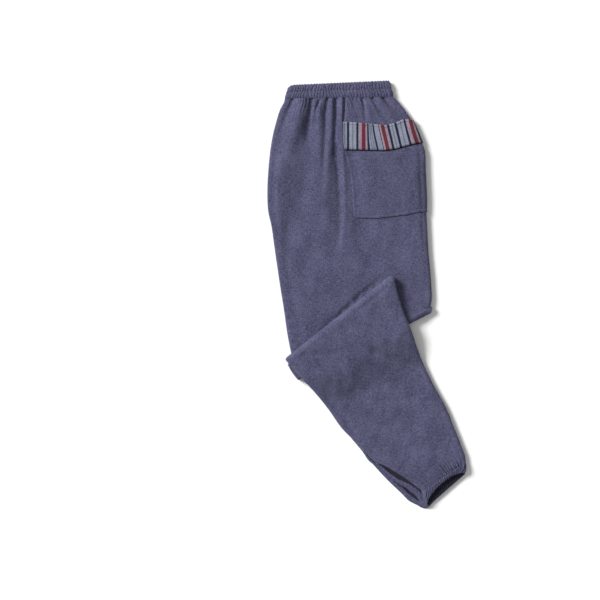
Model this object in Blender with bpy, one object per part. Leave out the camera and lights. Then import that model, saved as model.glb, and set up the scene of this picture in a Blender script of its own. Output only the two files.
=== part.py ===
"""Monpe trousers in mauve chambray, folded and laid flat with the waist towards +Y.

The left leg lies on the right leg. At the knee both are folded in a Z: the thighs end at the
bottom fold, the knee stretch goes back over them, and the shins turn at the top fold and run
down to the hems. Every cloth piece is a wall worked out from sections across the leg. The layers
that can't be seen under it are rounded solids with one lobe at the edge for each leg.
Tables are in millimetres, and MM turns them into metres.
"""

import math
from collections import namedtuple

import bmesh
import bpy
import numpy as np

MM = 0.001

# Cloth and how it lies
WALL = 1.5            # one ply of chambray with its seam allowances, as it lies
SEAM_GAP = 0.3        # between neighbouring pieces
SLOPE_GAP = 0.3       # more room where the shin's layers bend down off the fold
RIGHT_LEG_HIGH = 4.2  # the right leg, flat on the floor
LEFT_LEG_HIGH = 6.0   # the left leg on top of it
KNEE_HIGH = 5.4       # both legs pressed together in the stretch between the two folds
THIGH_TOP = RIGHT_LEG_HIGH + SEAM_GAP + LEFT_LEG_HIGH
KNEE_BASE = THIGH_TOP + SEAM_GAP
KNEE_TOP = KNEE_BASE + KNEE_HIGH
SHIN_BASE = KNEE_TOP + SEAM_GAP
ROLL_OUT = 6.0        # how far in from its edge a leg has rounded over
ROLL_DOWN = LEFT_LEG_HIGH / 2
TUCK = 12.0           # the part of the rolled edge that lies under the leg
EDGE_INSET = 1.0      # the under layers stay this far inside the top one's edge
FLAT_IN = 22.0        # the hidden layers are at their full height this far in from the edge
HIDDEN_RISE = 0.8     # and that much higher than at the edge
RISE_RUN = 5.0        # over this distance

# Waistband, a casing on two rows of elastic
BAND_HIGH = 11.6
BAND_SLIT = 1.6       # between the two halves of the flattened ring
BAND_RIBS = 34        # gathers across the side that shows
BAND_RIB_DEEP = 1.1

# Hip pocket and its striped band
POCKET_PLY = 1.2
POCKET_BAND_PLY = 1.9
POCKET_ROUND = 1.62   # how far round the leg's right edge they reach: 1.5 is the very edge

# Bottom fold at the knee, and the top fold over it
FOLD_LEFT = (-123.3, -153.0)
FOLD_RIGHT = (116.1, -32.4)
NOSE_OUT = 10.0       # depth of the rounding at a fold
LEAVE_FOLD = 2.0      # the shin starts down this far beyond the bottom fold
TOUCH_DOWN = 52.0     # and it is down on the floor this far beyond it

# Hems
CASING_HIGH = 8.6
CASING_WAVES = 22
CASING_WAVE_DEEP = 0.8
MOUTH_SLANT = 13.0    # the lower lip reaches this much further than the upper one

# Cloth colours and roughness
MAUVE = (0.094, 0.092, 0.150)
MAUVE_SHADE = (0.066, 0.065, 0.108)
STRIPE_PALE = (0.34, 0.36, 0.42)
MATTE = 0.92

Section = namedtuple("Section", "left_x left_y right_x right_y")
Fold = namedtuple("Fold", "x0 y0 x1 y1 wide deep")
Edge = namedtuple("Edge", "x y")

# Ends of the waistband's upper and lower edge
BAND_TOP = Section(-142.5, 377.0, 41.0, 385.2)
BAND_FOOT = Section(-146.7, 353.2, 47.8, 356.8)

# Edges of the thigh as it lies, from just under the waistband to the bottom fold
THIGH = [
    Section(-146.7, 352.9, 47.8, 356.5),
    Section(-149.0, 345.0, 57.5, 346.0),
    Section(-156.0, 332.0, 67.5, 333.0),
    Section(-163.0, 309.0, 81.0, 313.0),
    Section(-168.5, 287.0, 92.5, 287.5),
    Section(-173.0, 260.0, 101.8, 260.0),
    Section(-176.5, 225.0, 103.5, 225.0),
    Section(-178.4, 187.0, 105.3, 187.0),
    Section(-177.0, 152.0, 107.1, 152.0),
    Section(-170.5, 121.0, 109.0, 117.0),
    Section(-164.7, 79.0, 110.9, 79.0),
    Section(-156.0, 20.0, 114.8, 38.0),
    Section(-148.5, -27.0, 116.5, 10.0),
    Section(-141.5, -75.0, 117.0, -6.0),
    Section(-127.8, -141.5, 114.5, -21.5),
]

# Edges of the shin, from the rounding of the top fold to the hem casing
SHIN = [
    Section(-141.0, -122.0, 50.0, 28.5),
    Section(-130.0, -134.5, 54.5, 7.0),
    Section(-113.0, -153.5, 66.0, -30.5),
    Section(-90.5, -178.0, 80.5, -66.0),
    Section(-67.5, -207.0, 98.0, -114.5),
    Section(-45.0, -239.0, 119.5, -160.5),
    Section(-17.5, -266.5, 141.5, -200.5),
    Section(13.5, -297.0, 157.5, -239.0),
    Section(40.0, -311.0, 169.0, -268.0),
    Section(72.0, -331.0, 176.5, -288.0),
    Section(100.0, -353.0, 178.0, -300.0),
]

# Where the two hem casings end
LEFT_CASING_END = Section(109.8, -377.0, 177.5, -320.0)
RIGHT_CASING_END = Section(102.5, -385.2, 172.0, -327.0)

# How far each of the two layers under the shin stands out beyond the one on it, near the hem
STAGGER = [0.0, 0.0, 0.0, 0.0, 0.0, 0.0, 0.0, 0.5, 6.5, 12.5, 13.0]

# The stretch between the folds, from the bottom fold to the top fold
KNEE = [
    Section(-123.3, -153.0, 116.1, -32.4),
    Section(-134.0, -139.0, 83.0, -7.5),
    Section(-142.0, -125.0, 50.0, 17.5),
]

# Gathers that run down from the waistband, and the broad troughs below them
THIGH_FOLDS = [
    Fold(-131.0, 353.0, -143.0, 322.0, 7.0, 3.2),
    Fold(-106.0, 354.0, -108.0, 336.0, 4.5, 2.0),
    Fold(-100.0, 353.0, -108.0, 284.0, 6.5, 3.6),
    Fold(-108.0, 284.0, -136.0, 154.0, 20.0, 2.2),
    Fold(-86.0, 342.0, -93.0, 306.0, 5.5, 2.4),
    Fold(-69.0, 351.0, -78.0, 232.0, 6.0, 3.0),
    Fold(-55.0, 354.0, -60.0, 256.0, 6.5, 3.8),
    Fold(-60.0, 256.0, -49.0, 101.0, 9.5, 3.2),
    Fold(-39.0, 356.0, -41.0, 322.0, 4.5, 2.4),
    Fold(-24.0, 355.0, -23.0, 330.0, 4.5, 1.6),
    Fold(-8.0, 355.0, -2.0, 320.0, 5.5, 2.6),
    Fold(14.0, 345.0, 36.0, 318.0, 7.0, 3.2),
    Fold(29.0, 352.0, 57.0, 331.0, 5.0, 2.0),
]

# Creases across the shin, the first where it comes down on the floor
SHIN_FOLDS = [
    Fold(17.0, -104.0, 109.0, -142.0, 12.0, 2.4),
    Fold(22.5, -192.0, 71.0, -187.0, 11.0, 1.4),
    Fold(-60.0, -205.0, -31.0, -246.0, 10.0, 1.5),
    Fold(-84.0, -122.0, -60.0, -146.0, 9.0, 1.1),
]

# The pocket's left edge, from the mouth to the bottom corner, and its lower edge
POCKET_LEFT = [
    Edge(-42.0, 310.5),
    Edge(-40.5, 261.0),
    Edge(-30.0, 209.0),
    Edge(-24.3, 153.9),
    Edge(-22.5, 141.0),
]
POCKET_MOUTH = [Edge(-42.0, 310.5), Edge(-2.5, 308.0), Edge(33.0, 304.5), Edge(64.0, 315.0)]
POCKET_SEAM = [Edge(-40.5, 261.0), Edge(33.0, 259.5), Edge(69.0, 267.0), Edge(92.0, 273.0)]
POCKET_FOOT = [Edge(-22.5, 138.5), Edge(17.0, 137.5), Edge(72.0, 144.0), Edge(95.0, 149.0)]


def smooth(t):
    """A soft step from 0 to 1."""
    t = min(1.0, max(0.0, t))
    return t * t * (3 - 2 * t)


def between(rows, place):
    """A row read from a table at any place from 0 to its last row, on one smooth curve."""
    table = np.array(rows, float)
    last = len(table) - 1
    place = min(max(place, 0.0), float(last))
    i = min(int(place), last - 1)
    t = place - i
    p0, p1 = table[max(i - 1, 0)], table[i]
    p2, p3 = table[i + 1], table[min(i + 2, last)]
    bend = (2 * p0 - 5 * p1 + 4 * p2 - p3) * t + (3 * p1 - p0 - 3 * p2 + p3) * t * t
    return p1 + 0.5 * t * ((p2 - p0) + bend)


def ends(rows, place):
    """The left and right end of the section at that place, in plan."""
    row = between(rows, place)
    return np.array(row[:2]), np.array(row[2:4])


def fold_depth(folds, x, y):
    """How far the cloth sinks at a place, under all the folds of a table."""
    depth = 0.0
    for fold in folds:
        a = np.array((fold.x0, fold.y0))
        run = np.array((fold.x1, fold.y1)) - a
        long = math.hypot(*run)
        off = np.array((x, y)) - a
        along = off.dot(run) / long
        aside = (off[0] * run[1] - off[1] * run[0]) / long
        over = max(0.0, -along, along - long) / (1.6 * fold.wide)
        depth += fold.deep * math.exp(-((aside / fold.wide) ** 2) * 1.6 - over * over)
    return min(depth, 4.2)


def rolled(u, wide, offset, out, down):
    """Inset from the left end and depth below the top for a place across a rolled leg.

    0 to 1 runs across the top, 1 to 2 round the right edge and 2 to 3 along its tuck, and the
    left edge has the same below 0. The offset moves the place into the cloth.
    """
    if u < 0:
        inset, sink = rolled(1 - u, wide, offset, out, down)
        return wide - inset, sink
    if u <= 1:
        return out + u * (wide - 2 * out), offset
    if u <= 2:
        turn = (u - 1) * math.pi
        return (wide - out + (out - offset) * math.sin(turn),
                down - (down - offset) * math.cos(turn))
    return wide - out - (u - 2) * TUCK, 2 * down - offset


def edge_fade(u):
    """Folds die out towards the rolled edges."""
    return smooth(min(u, 1 - u) / 0.05)


def thigh_height(x, y, u):
    """Top of the thigh: puffed up under the waistband, and sunk where it is gathered."""
    puff = 2.6 * smooth((y - 90.0) / 240.0) * smooth(min(u, 1 - u) / 0.18)
    return THIGH_TOP + edge_fade(u) * (puff - fold_depth(THIGH_FOLDS, x, y))


def thigh_point(u, place, offset):
    """A point of the thigh's top layer, moved into the cloth by the offset."""
    left, right = ends(THIGH, place)
    wide = math.hypot(*(right - left))
    across = (right - left) / wide
    inset, sink = rolled(u, wide, offset, ROLL_OUT, ROLL_DOWN)
    x, y = left + across * inset
    return x, y, thigh_height(x, y, min(1.0, max(0.0, u))) - sink


def beyond_fold(x, y):
    """Distance of a place beyond the bottom fold, on the side that the thigh isn't on."""
    a, b = np.array(FOLD_LEFT), np.array(FOLD_RIGHT)
    run = (b - a) / math.hypot(*(b - a))
    off = np.array((x, y)) - a
    return off[0] * run[1] - off[1] * run[0]


def shin_base(x, y):
    """What the shin lies on: the folded knee, and then the floor."""
    return SHIN_BASE * (1 - smooth((beyond_fold(x, y) - LEAVE_FOLD) / (TOUCH_DOWN - LEAVE_FOLD)))


def shin_point(u, place, offset):
    """A point of the shin's top layer. Below place 0 it turns down round the top fold."""
    left, right = ends(SHIN, max(0.0, place))
    ahead, _ = ends(SHIN, 1.0)
    wide = math.hypot(*(right - left))
    across = (right - left) / wide
    inset, sink = rolled(u, wide, offset, ROLL_OUT, ROLL_DOWN)
    x, y = left + across * inset
    top = shin_base(x, y) + THIGH_TOP
    top -= edge_fade(min(1.0, max(0.0, u))) * fold_depth(SHIN_FOLDS, x, y)
    if place >= 0:
        return x, y, top - sink
    turn = -place * math.pi
    nose_down = (top - KNEE_BASE) / 2
    back = np.array((across[1], -across[0])) * (NOSE_OUT - sink) * math.sin(turn)
    return x - back[0], y - back[1], top - nose_down + (nose_down - sink) * math.cos(turn)


def add_object(name, mesh_points, faces, colour, roughness):
    """One closed piece with its own cloth material."""
    mesh = bpy.data.meshes.new(name)
    mesh.from_pydata([tuple(c * MM for c in p) for p in mesh_points], [], faces)
    work = bmesh.new()
    work.from_mesh(mesh)
    bmesh.ops.recalc_face_normals(work, faces=work.faces)
    work.to_mesh(mesh)
    work.free()
    mesh.shade_smooth()
    mesh.set_sharp_from_angle(angle=math.radians(50))
    material = bpy.data.materials.new(name + "_cloth")
    material.use_nodes = True
    shader = material.node_tree.nodes["Principled BSDF"]
    shader.inputs["Base Color"].default_value = (*colour, 1)
    shader.inputs["Roughness"].default_value = roughness
    shader.inputs["Metallic"].default_value = 0.0
    mesh.materials.append(material)
    piece = bpy.data.objects.new(name, mesh)
    bpy.context.scene.collection.objects.link(piece)
    return piece


def wall(name, outer, inner, colour):
    """A cloth wall between two grids of points, with a rim all round."""
    rows, columns = len(outer), len(outer[0])
    points = [p for row in outer for p in row] + [p for row in inner for p in row]
    shift = rows * columns

    def quads(base):
        for r in range(rows - 1):
            for c in range(columns - 1):
                a = base + r * columns + c
                yield a, a + 1, a + columns + 1, a + columns

    rim = [c for c in range(columns)]
    rim += [r * columns + columns - 1 for r in range(1, rows)]
    rim += [(rows - 1) * columns + c for c in range(columns - 2, -1, -1)]
    rim += [r * columns for r in range(rows - 2, 0, -1)]
    faces = list(quads(0)) + [q[::-1] for q in quads(shift)]
    for a, b in zip(rim, rim[1:] + rim[:1]):
        faces.append((b, a, a + shift, b + shift))
    return add_object(name, points, faces, colour, MATTE)


def loft(name, loops, colour, open_ring=None):
    """A solid through closed loops, with flat ends, or a ring where inner loops are given."""
    count = len(loops[0])
    points = [p for loop in loops for p in loop]
    faces = []

    def tube(base, rows, turn):
        for r in range(rows - 1):
            for c in range(count):
                a, b = base + r * count + c, base + r * count + (c + 1) % count
                quad = (a, b, b + count, a + count)
                faces.append(quad[::-1] if turn else quad)

    tube(0, len(loops), False)
    last = (len(loops) - 1) * count
    if open_ring is None:
        faces.append(tuple(range(count)))
        faces.append(tuple(last + c for c in range(count))[::-1])
        return add_object(name, points, faces, colour, MATTE)
    shift = len(points)
    points += [p for loop in open_ring for p in loop]
    tube(shift, len(open_ring), True)
    for c in range(count):
        d = (c + 1) % count
        faces.append((d, c, c + shift, d + shift))
        faces.append((last + c, last + d, last + d + shift, last + c + shift))
    return add_object(name, points, faces, colour, MATTE)


def slab_loop(left, right, low, high, columns, lobes, stagger=0.0, rise=0.0, side=4.0):
    """A section of flat layers: an even underside, a top, and a lobe for each leg at the edges."""
    wide = math.hypot(*(right - left))
    across = (right - left) / wide
    flat_left, flat_right = FLAT_IN + stagger, wide - FLAT_IN
    insets = [side, flat_left - RISE_RUN]
    insets += list(np.linspace(flat_left, flat_right, columns - 4))
    insets += [flat_right + RISE_RUN, wide - side]

    def at(inset, z_of):
        x, y = left + across * inset
        return x, y, z_of(x, y)

    def edge(is_left):
        points = []
        for lobe in range(lobes):
            for turn in (-58, 0, 58):
                reach = side * math.cos(math.radians(turn))
                share = (lobe + 0.5 + 0.5 * math.sin(math.radians(turn))) / lobes
                inset = side - reach
                if is_left:
                    inset -= stagger * (lobes - lobe - 1)
                points.append((inset, share))
            if lobe < lobes - 1:
                points.append((side * 1.5, (lobe + 1) / lobes))
        return points

    def edge_points(is_left):
        for inset, share in edge(is_left):
            place = inset if is_left else wide - inset
            yield at(place, lambda x, y: low(x, y) + share * (high(x, y) - low(x, y)))

    def lifted(inset):
        near = smooth(1 + min(inset - flat_left, flat_right - inset) / RISE_RUN)
        return at(inset, lambda x, y: high(x, y) + rise * near)

    loop = [at(inset, low) for inset in insets]
    loop += list(edge_points(False))
    loop += [lifted(inset) for inset in insets[::-1]]
    loop += list(edge_points(True))[::-1]
    return loop


def spaced(first, last, count, crowd=1.0):
    """Places from first to last, closer together at the start where crowd is over 1."""
    return [first + (last - first) * (i / (count - 1)) ** crowd for i in range(count)]


ACROSS_ROLL = [-2.0, -1.0, -0.75, -0.5, -0.25]


def across_places(columns):
    """Places across a rolled leg, with both rounded edges and their tucks."""
    flat = spaced(0.0, 1.0, columns)
    return ACROSS_ROLL + flat + [1 - u for u in ACROSS_ROLL[::-1]]


def build_thigh():
    """The left leg's thigh: the layer that shows, rolled under at both edges."""
    places = spaced(0.0, len(THIGH) - 1.0, 24, 1.25)
    us = across_places(48)
    outer = [[thigh_point(u, v, 0.0) for u in us] for v in places]
    inner = [[thigh_point(u, v, WALL) for u in us] for v in places]
    return wall("left_leg_thigh", outer, inner, MAUVE)


def build_hidden_layers():
    """The right leg's thigh and the rest of the hips, folded away under the left thigh."""
    loops = []
    for v in spaced(0.0, len(THIGH) - 1.0, 18):
        left, right = ends(THIGH, v)
        across = (right - left) / math.hypot(*(right - left))
        inset = across * EDGE_INSET
        loops.append(slab_loop(left + inset, right - inset, lambda x, y: 0.0,
                               lambda x, y: RIGHT_LEG_HIGH, 12, 1, 0.0, HIDDEN_RISE))
    return loft("hidden_layers", loops, MAUVE_SHADE)


def build_knee():
    """The stretch between the folds. Its outermost layer turns up from the floor."""
    middle = KNEE_TOP / 2
    loops = []
    for inset in (0.4, 2.0, 5.0, 8.0, NOSE_OUT):
        turn = math.sqrt(1 - (1 - inset / NOSE_OUT) ** 2)
        place = inset / 30.0
        loops.append(knee_loop(place, middle - middle * turn, middle + middle * turn))
    for place in (NOSE_OUT / 30.0 + 0.012, 0.8, 1.2, 1.6, 2.0):
        loops.append(knee_loop(place, KNEE_BASE, KNEE_TOP))
    return loft("knee_fold", loops, MAUVE_SHADE)


def knee_loop(place, low, high):
    """One section of the folded knee, parallel to the bottom fold."""
    left, right = ends(KNEE, place)
    return slab_loop(left, right, lambda x, y: low, lambda x, y: high, 10, 2)


SHIN_PLACES = spaced(0.0, len(SHIN) - 1.0, 21)


def build_shin():
    """The left leg's shin: it turns round the top fold and is rolled under at both edges."""
    us = across_places(30)
    places = [-0.94, -0.75, -0.5, -0.25] + SHIN_PLACES
    outer = [[shin_point(u, v, 0.0) for u in us] for v in places]
    inner = [[shin_point(u, v, WALL) for u in us] for v in places]
    return wall("left_leg_shin", outer, inner, MAUVE)


def build_under_shin():
    """The right leg's shin with the left leg's under layer, fanned out a little at the hem."""
    loops = []
    for v in [0.06] + SHIN_PLACES[1:]:
        left, right = ends(SHIN, v)
        across = (right - left) / math.hypot(*(right - left))
        fan = float(between([(s,) for s in STAGGER], v)[0])
        start = left + across * (EDGE_INSET - fan)
        loops.append(slab_loop(start, right - across * EDGE_INSET, shin_base,
                               lambda x, y: shin_base(x, y) + RIGHT_LEG_HIGH - SLOPE_GAP,
                               10, 2, fan, HIDDEN_RISE))
    return loft("right_leg_shin", loops, MAUVE_SHADE)


def ring_loop(left, right, low, high, slant, deep, shrink):
    """A flattened ring of gathered casing. The mouth slants: its lower half reaches further."""
    wide = math.hypot(*(right - left))
    across = (right - left) / wide
    forward = np.array((across[1], -across[0]))
    centre = (left + right) / 2
    tall = (high - low) / 2 - shrink
    middle = (high + low) / 2
    steps = CASING_WAVES * 4
    loop = []
    for i in range(steps):
        turn = 2 * math.pi * i / steps
        c, s = math.cos(turn), math.sin(turn)
        out = math.copysign(abs(c) ** 0.6, c)
        up = math.copysign(abs(s) ** 0.6, s)
        ripple = deep * math.sin(math.pi * i / 2 + 0.7) * smooth(0.5 + 0.8 * s + abs(c))
        x, y = centre + across * (wide / 2 - shrink + ripple) * out - forward * slant * s / 2
        loop.append((x, y, middle + (tall + ripple) * up))
    return loop


def build_left_casing():
    """The left hem's casing: an open ring, its mouth towards the lower right."""
    low = RIGHT_LEG_HIGH + SEAM_GAP
    outer, inner = [], []
    for share in (0.02, 0.33, 0.66, 1.0):
        left, right = ends([SHIN[-1], LEFT_CASING_END], share)
        deep = CASING_WAVE_DEEP * (0.6 + 0.4 * share)
        size = (left, right, low, low + CASING_HIGH, MOUTH_SLANT * share)
        outer.append(ring_loop(*size, deep, 0.0))
        inner.append(ring_loop(*size, deep * 0.4, 2.0))
    return loft("left_hem_casing", outer, MAUVE, inner)


def build_right_casing():
    """The right hem's casing, pressed flat under the left one."""
    left, right = ends(SHIN, len(SHIN) - 1.0)
    across = (right - left) / math.hypot(*(right - left))
    start_left = left + across * (EDGE_INSET - STAGGER[-1])
    start = Section(*start_left, *(right - across * EDGE_INSET))
    loops = []
    for share in (0.02, 0.35, 0.7, 1.0):
        left, right = ends([start, RIGHT_CASING_END], share)
        fan = STAGGER[-1] * (1 - share)
        loops.append(slab_loop(left, right, lambda x, y: 0.0, lambda x, y: RIGHT_LEG_HIGH, 8, 2,
                               fan))
    return loft("right_hem_casing", loops, MAUVE_SHADE)


def band_loop(share, shrink):
    """One section of the waistband ring, ribbed on the sides that show."""
    left, right = ends([BAND_TOP, BAND_FOOT], share)
    across = (right - left) / math.hypot(*(right - left))
    wide = math.hypot(*(right - left))
    round_out = BAND_HIGH / 2
    crown = 0.8 * math.sin(math.pi * min(1.0, share * 2) if share < 0.5 else
                           math.pi * (2 - 2 * share))
    crown = abs(crown)
    loop = []
    top_steps, end_steps, under_steps = BAND_RIBS * 2, 5, 12
    places = [("top", i / top_steps) for i in range(top_steps + 1)]
    places += [("right", (i + 1) / (end_steps + 1)) for i in range(end_steps)]
    places += [("under", i / under_steps) for i in range(under_steps + 1)]
    places += [("left", (i + 1) / (end_steps + 1)) for i in range(end_steps)]
    for number, (side, t) in enumerate(places):
        rib = BAND_RIB_DEEP * (number % 2) * (0.7 + 0.3 * math.sin(1.7 * number))
        rise = BAND_HIGH / 2 - shrink
        if side == "top":
            inset, z = round_out + t * (wide - 2 * round_out), BAND_HIGH / 2 + rise
            z += 0.0 if shrink else crown - rib
        elif side == "right":
            turn = t * math.pi
            inset = wide - round_out + rise * math.sin(turn)
            z = BAND_HIGH / 2 + rise * math.cos(turn)
        elif side == "under":
            inset, z = wide - round_out - t * (wide - 2 * round_out), BAND_HIGH / 2 - rise
        else:
            turn = t * math.pi
            inset = round_out - rise * math.sin(turn)
            z = BAND_HIGH / 2 - rise * math.cos(turn)
        x, y = left + across * inset
        loop.append((x, y, z))
    return loop


def build_waistband():
    """The waistband: a flattened elastic ring with a rib for each gather and a stitched waist."""
    shares = (0.0, 0.22, 0.44, 0.5, 0.56, 0.78, 1.0)
    outer = [band_loop(s, 0.0) for s in shares]
    inner = [band_loop(s, (BAND_HIGH - BAND_SLIT) / 2) for s in shares]
    return loft("waistband", outer, MAUVE, inner)


def place_of(u_guess, x, y):
    """The section and the place across it that lie over a point of the plan."""
    place, u = 4.0, u_guess
    for _ in range(60):
        px, py, _ = thigh_point(u, place, 0.0)
        qx, qy, _ = thigh_point(u, place + 0.01, 0.0)
        left, right = ends(THIGH, place)
        place += 0.7 * 0.01 * (y - py) / (qy - py)
        u += 0.7 * (x - px) / (right[0] - left[0])
    return place, u


def pocket_grid(top_edge, foot_edge, left_edge_share, rows, columns, offset):
    """Points over the thigh between two edges, from the pocket's left side to round the right."""
    top = [place_of(0.6, e.x, e.y) for e in top_edge]
    foot = [place_of(0.6, e.x, e.y) for e in foot_edge]
    grid = []
    for r in range(rows):
        t = r / (rows - 1)
        row = []
        first = left_edge_share[0] + (left_edge_share[1] - left_edge_share[0]) * t
        side = between(POCKET_LEFT, first)
        _, u_left = place_of(0.6, side[0], side[1])
        for c in range(columns):
            s = c / (columns - 1)
            u = u_left + (POCKET_ROUND - u_left) * s
            head = float(np.interp(u, [p[1] for p in top], [p[0] for p in top]))
            toe = float(np.interp(u, [p[1] for p in foot], [p[0] for p in foot]))
            row.append(thigh_point(u, head + (toe - head) * t, offset))
        grid.append(row)
    return grid


def build_pocket():
    """The hip pocket: a patch laid on the thigh and round its right edge."""
    head = [Edge(e.x, e.y - SEAM_GAP) for e in POCKET_SEAM]
    size = (head, POCKET_FOOT, (1.02, 4.0), 8, 18)
    outer = pocket_grid(*size, -SEAM_GAP - POCKET_PLY)
    inner = pocket_grid(*size, -SEAM_GAP)
    return wall("hip_pocket", outer, inner, MAUVE)


def build_pocket_band():
    """The striped band along the pocket's mouth."""
    size = (POCKET_MOUTH, POCKET_SEAM, (0.0, 0.99), 5, 18)
    outer = pocket_grid(*size, -SEAM_GAP - POCKET_BAND_PLY)
    inner = pocket_grid(*size, -SEAM_GAP)
    return wall("pocket_band", outer, inner, STRIPE_PALE)


def main():
    for old in list(bpy.data.objects):
        bpy.data.objects.remove(old, do_unlink=True)
    build_hidden_layers()
    build_thigh()
    build_waistband()
    build_pocket()
    build_pocket_band()
    build_knee()
    build_under_shin()
    build_shin()
    build_left_casing()
    build_right_casing()


main()
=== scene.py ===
# %% [markdown]
# # Monpe trousers, folded flat
#
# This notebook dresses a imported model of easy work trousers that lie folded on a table, the left
# leg on top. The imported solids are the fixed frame: they say where every piece is and how big it
# is. Everything that is made below stands for one of those solids, with finer folds and a finish.
#
# Lengths in the tables are in millimetres, which are easy to read for cloth, and `MM` turns them
# into Blender's metres where a mesh is made.

# %% Load the frame
import math
from collections import namedtuple

import bmesh
import bpy
import numpy as np
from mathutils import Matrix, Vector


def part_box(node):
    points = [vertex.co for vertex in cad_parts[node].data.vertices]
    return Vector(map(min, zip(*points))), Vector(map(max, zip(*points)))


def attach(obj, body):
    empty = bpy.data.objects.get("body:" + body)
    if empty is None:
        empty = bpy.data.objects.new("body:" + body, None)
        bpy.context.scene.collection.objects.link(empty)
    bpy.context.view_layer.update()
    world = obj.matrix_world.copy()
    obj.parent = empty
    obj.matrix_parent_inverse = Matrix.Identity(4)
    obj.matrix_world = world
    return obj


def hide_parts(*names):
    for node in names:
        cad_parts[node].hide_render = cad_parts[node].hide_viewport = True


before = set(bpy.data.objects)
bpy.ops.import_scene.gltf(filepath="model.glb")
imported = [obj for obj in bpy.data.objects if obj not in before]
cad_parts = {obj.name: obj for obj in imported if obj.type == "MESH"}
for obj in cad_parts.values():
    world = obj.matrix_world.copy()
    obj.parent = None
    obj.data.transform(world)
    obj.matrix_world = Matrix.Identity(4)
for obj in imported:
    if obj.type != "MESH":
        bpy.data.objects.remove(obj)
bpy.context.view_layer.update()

MM = 0.001
DM = 0.01             # millimetres of cloth to the decimetres of a UV map

# %% [markdown]
# ## Sizes and outlines
#
# A leg that lies flat is described by sections: straight lines across it, from its left edge to
# its right edge, one row of a table for each. A smooth curve through the rows gives every section
# in between. The same sizes made the solids, so the finished cloth lands on them with no fitting.

# %% Sizes of the cloth and how it lies
WALL = 1.0            # the visible ply
SEAM_GAP = 0.3
RIGHT_LEG_HIGH = 4.2
LEFT_LEG_HIGH = 6.0
KNEE_HIGH = 5.4
THIGH_TOP = RIGHT_LEG_HIGH + SEAM_GAP + LEFT_LEG_HIGH
KNEE_BASE = THIGH_TOP + SEAM_GAP
KNEE_TOP = KNEE_BASE + KNEE_HIGH
SHIN_BASE = KNEE_TOP + SEAM_GAP
ROLL_OUT = 6.0
ROLL_DOWN = LEFT_LEG_HIGH / 2
TUCK = 12.0
EDGE_INSET = 1.0

BAND_HIGH = 11.6
BAND_LONG = 27.4
BAND_LOOP = 3.6       # half the height of the flattened ring
BAND_PLY = 1.5        # half the thickness of the gathered wall
BAND_RIB_PITCH = 5.2
POCKET_ROUND = 1.62

FOLD_LEFT = (-123.3, -153.0)
FOLD_RIGHT = (116.1, -32.4)
NOSE_OUT = 10.0
LEAVE_FOLD = 2.0
TOUCH_DOWN = 80.0

CASING_HIGH = 8.6
CASING_LONG = 25.0
HEM_STAGGER = 13.0    # how far the left hem lies inside the right one
MOUTH_ARCH = 17.0

Section = namedtuple("Section", "left_x left_y right_x right_y")
BAND_TOP = Section(-142.5, 377.0, 41.0, 385.2)
BAND_FOOT = Section(-147.0, 352.0, 48.4, 355.7)
LEFT_MOUTH = Section(110.5, -383.5, 178.0, -323.0)
RIGHT_CASING_END = Section(102.5, -385.2, 172.0, -327.0)

THIGH = [
    Section(-146.7, 352.9, 47.8, 356.5),
    Section(-149.0, 345.0, 57.5, 346.0),
    Section(-156.0, 332.0, 67.5, 333.0),
    Section(-163.0, 309.0, 81.0, 313.0),
    Section(-168.5, 287.0, 92.5, 287.5),
    Section(-173.0, 260.0, 101.8, 260.0),
    Section(-176.5, 225.0, 103.5, 225.0),
    Section(-178.4, 187.0, 105.3, 187.0),
    Section(-177.0, 152.0, 107.1, 152.0),
    Section(-170.5, 121.0, 109.0, 117.0),
    Section(-164.7, 79.0, 110.9, 79.0),
    Section(-156.0, 20.0, 114.8, 38.0),
    Section(-148.5, -27.0, 116.5, 10.0),
    Section(-141.5, -75.0, 117.0, -6.0),
    Section(-127.8, -141.5, 114.5, -21.5),
]
SHIN = [
    Section(-141.0, -122.0, 50.0, 28.5),
    Section(-130.0, -134.5, 54.5, 7.0),
    Section(-113.0, -153.5, 66.0, -30.5),
    Section(-90.5, -178.0, 80.5, -66.0),
    Section(-67.5, -207.0, 98.0, -114.5),
    Section(-45.0, -239.0, 119.5, -160.5),
    Section(-17.5, -266.5, 141.5, -200.5),
    Section(13.5, -297.0, 157.5, -239.0),
    Section(40.0, -311.0, 169.0, -268.0),
    Section(72.0, -331.0, 176.5, -288.0),
    Section(100.0, -353.0, 178.0, -300.0),
]
KNEE = [
    Section(*FOLD_LEFT, *FOLD_RIGHT),
    Section(-134.0, -139.0, 83.0, -7.5),
    Section(-142.0, -125.0, 50.0, 17.5),
]
SHIN_ROW = 32.0       # from one section to the next
KNEE_ROW = 30.0
THIGH_WIDE = 250.0    # at the pocket
WAIST_SEAM_Y = 355.0
print("sections:", len(THIGH), "on the thigh,", len(SHIN), "on the shin")

# %% [markdown]
# ## Helpers that read the tables
#
# `soft_step` eases from 0 to 1 and is the usual way to fade one shape into another. `read_table`
# runs a smooth curve through the rows of a table: it passes through each row, so the numbers mean
# what they say. Both take whole arrays, which keeps a cloth of forty thousand points quick.


# %% Curves through tables
def soft_step(t):
    """Eases from 0 to 1, and stays there."""
    t = np.clip(t, 0.0, 1.0)
    return t * t * (3 - 2 * t)


def read_table(rows, places):
    """The row at each place, where place 2.5 is halfway between rows 2 and 3."""
    table = np.asarray(rows, float)
    last = len(table) - 1
    places = np.clip(np.asarray(places, float), 0, last)
    i = np.minimum(places.astype(int), last - 1)
    t = (places - i)[..., None]
    p0, p1 = table[np.maximum(i - 1, 0)], table[i]
    p2, p3 = table[i + 1], table[np.minimum(i + 2, last)]
    bend = (2 * p0 - 5 * p1 + 4 * p2 - p3) * t + (3 * p1 - p0 - 3 * p2 + p3) * t * t
    return p1 + 0.5 * t * ((p2 - p0) + bend)


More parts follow.
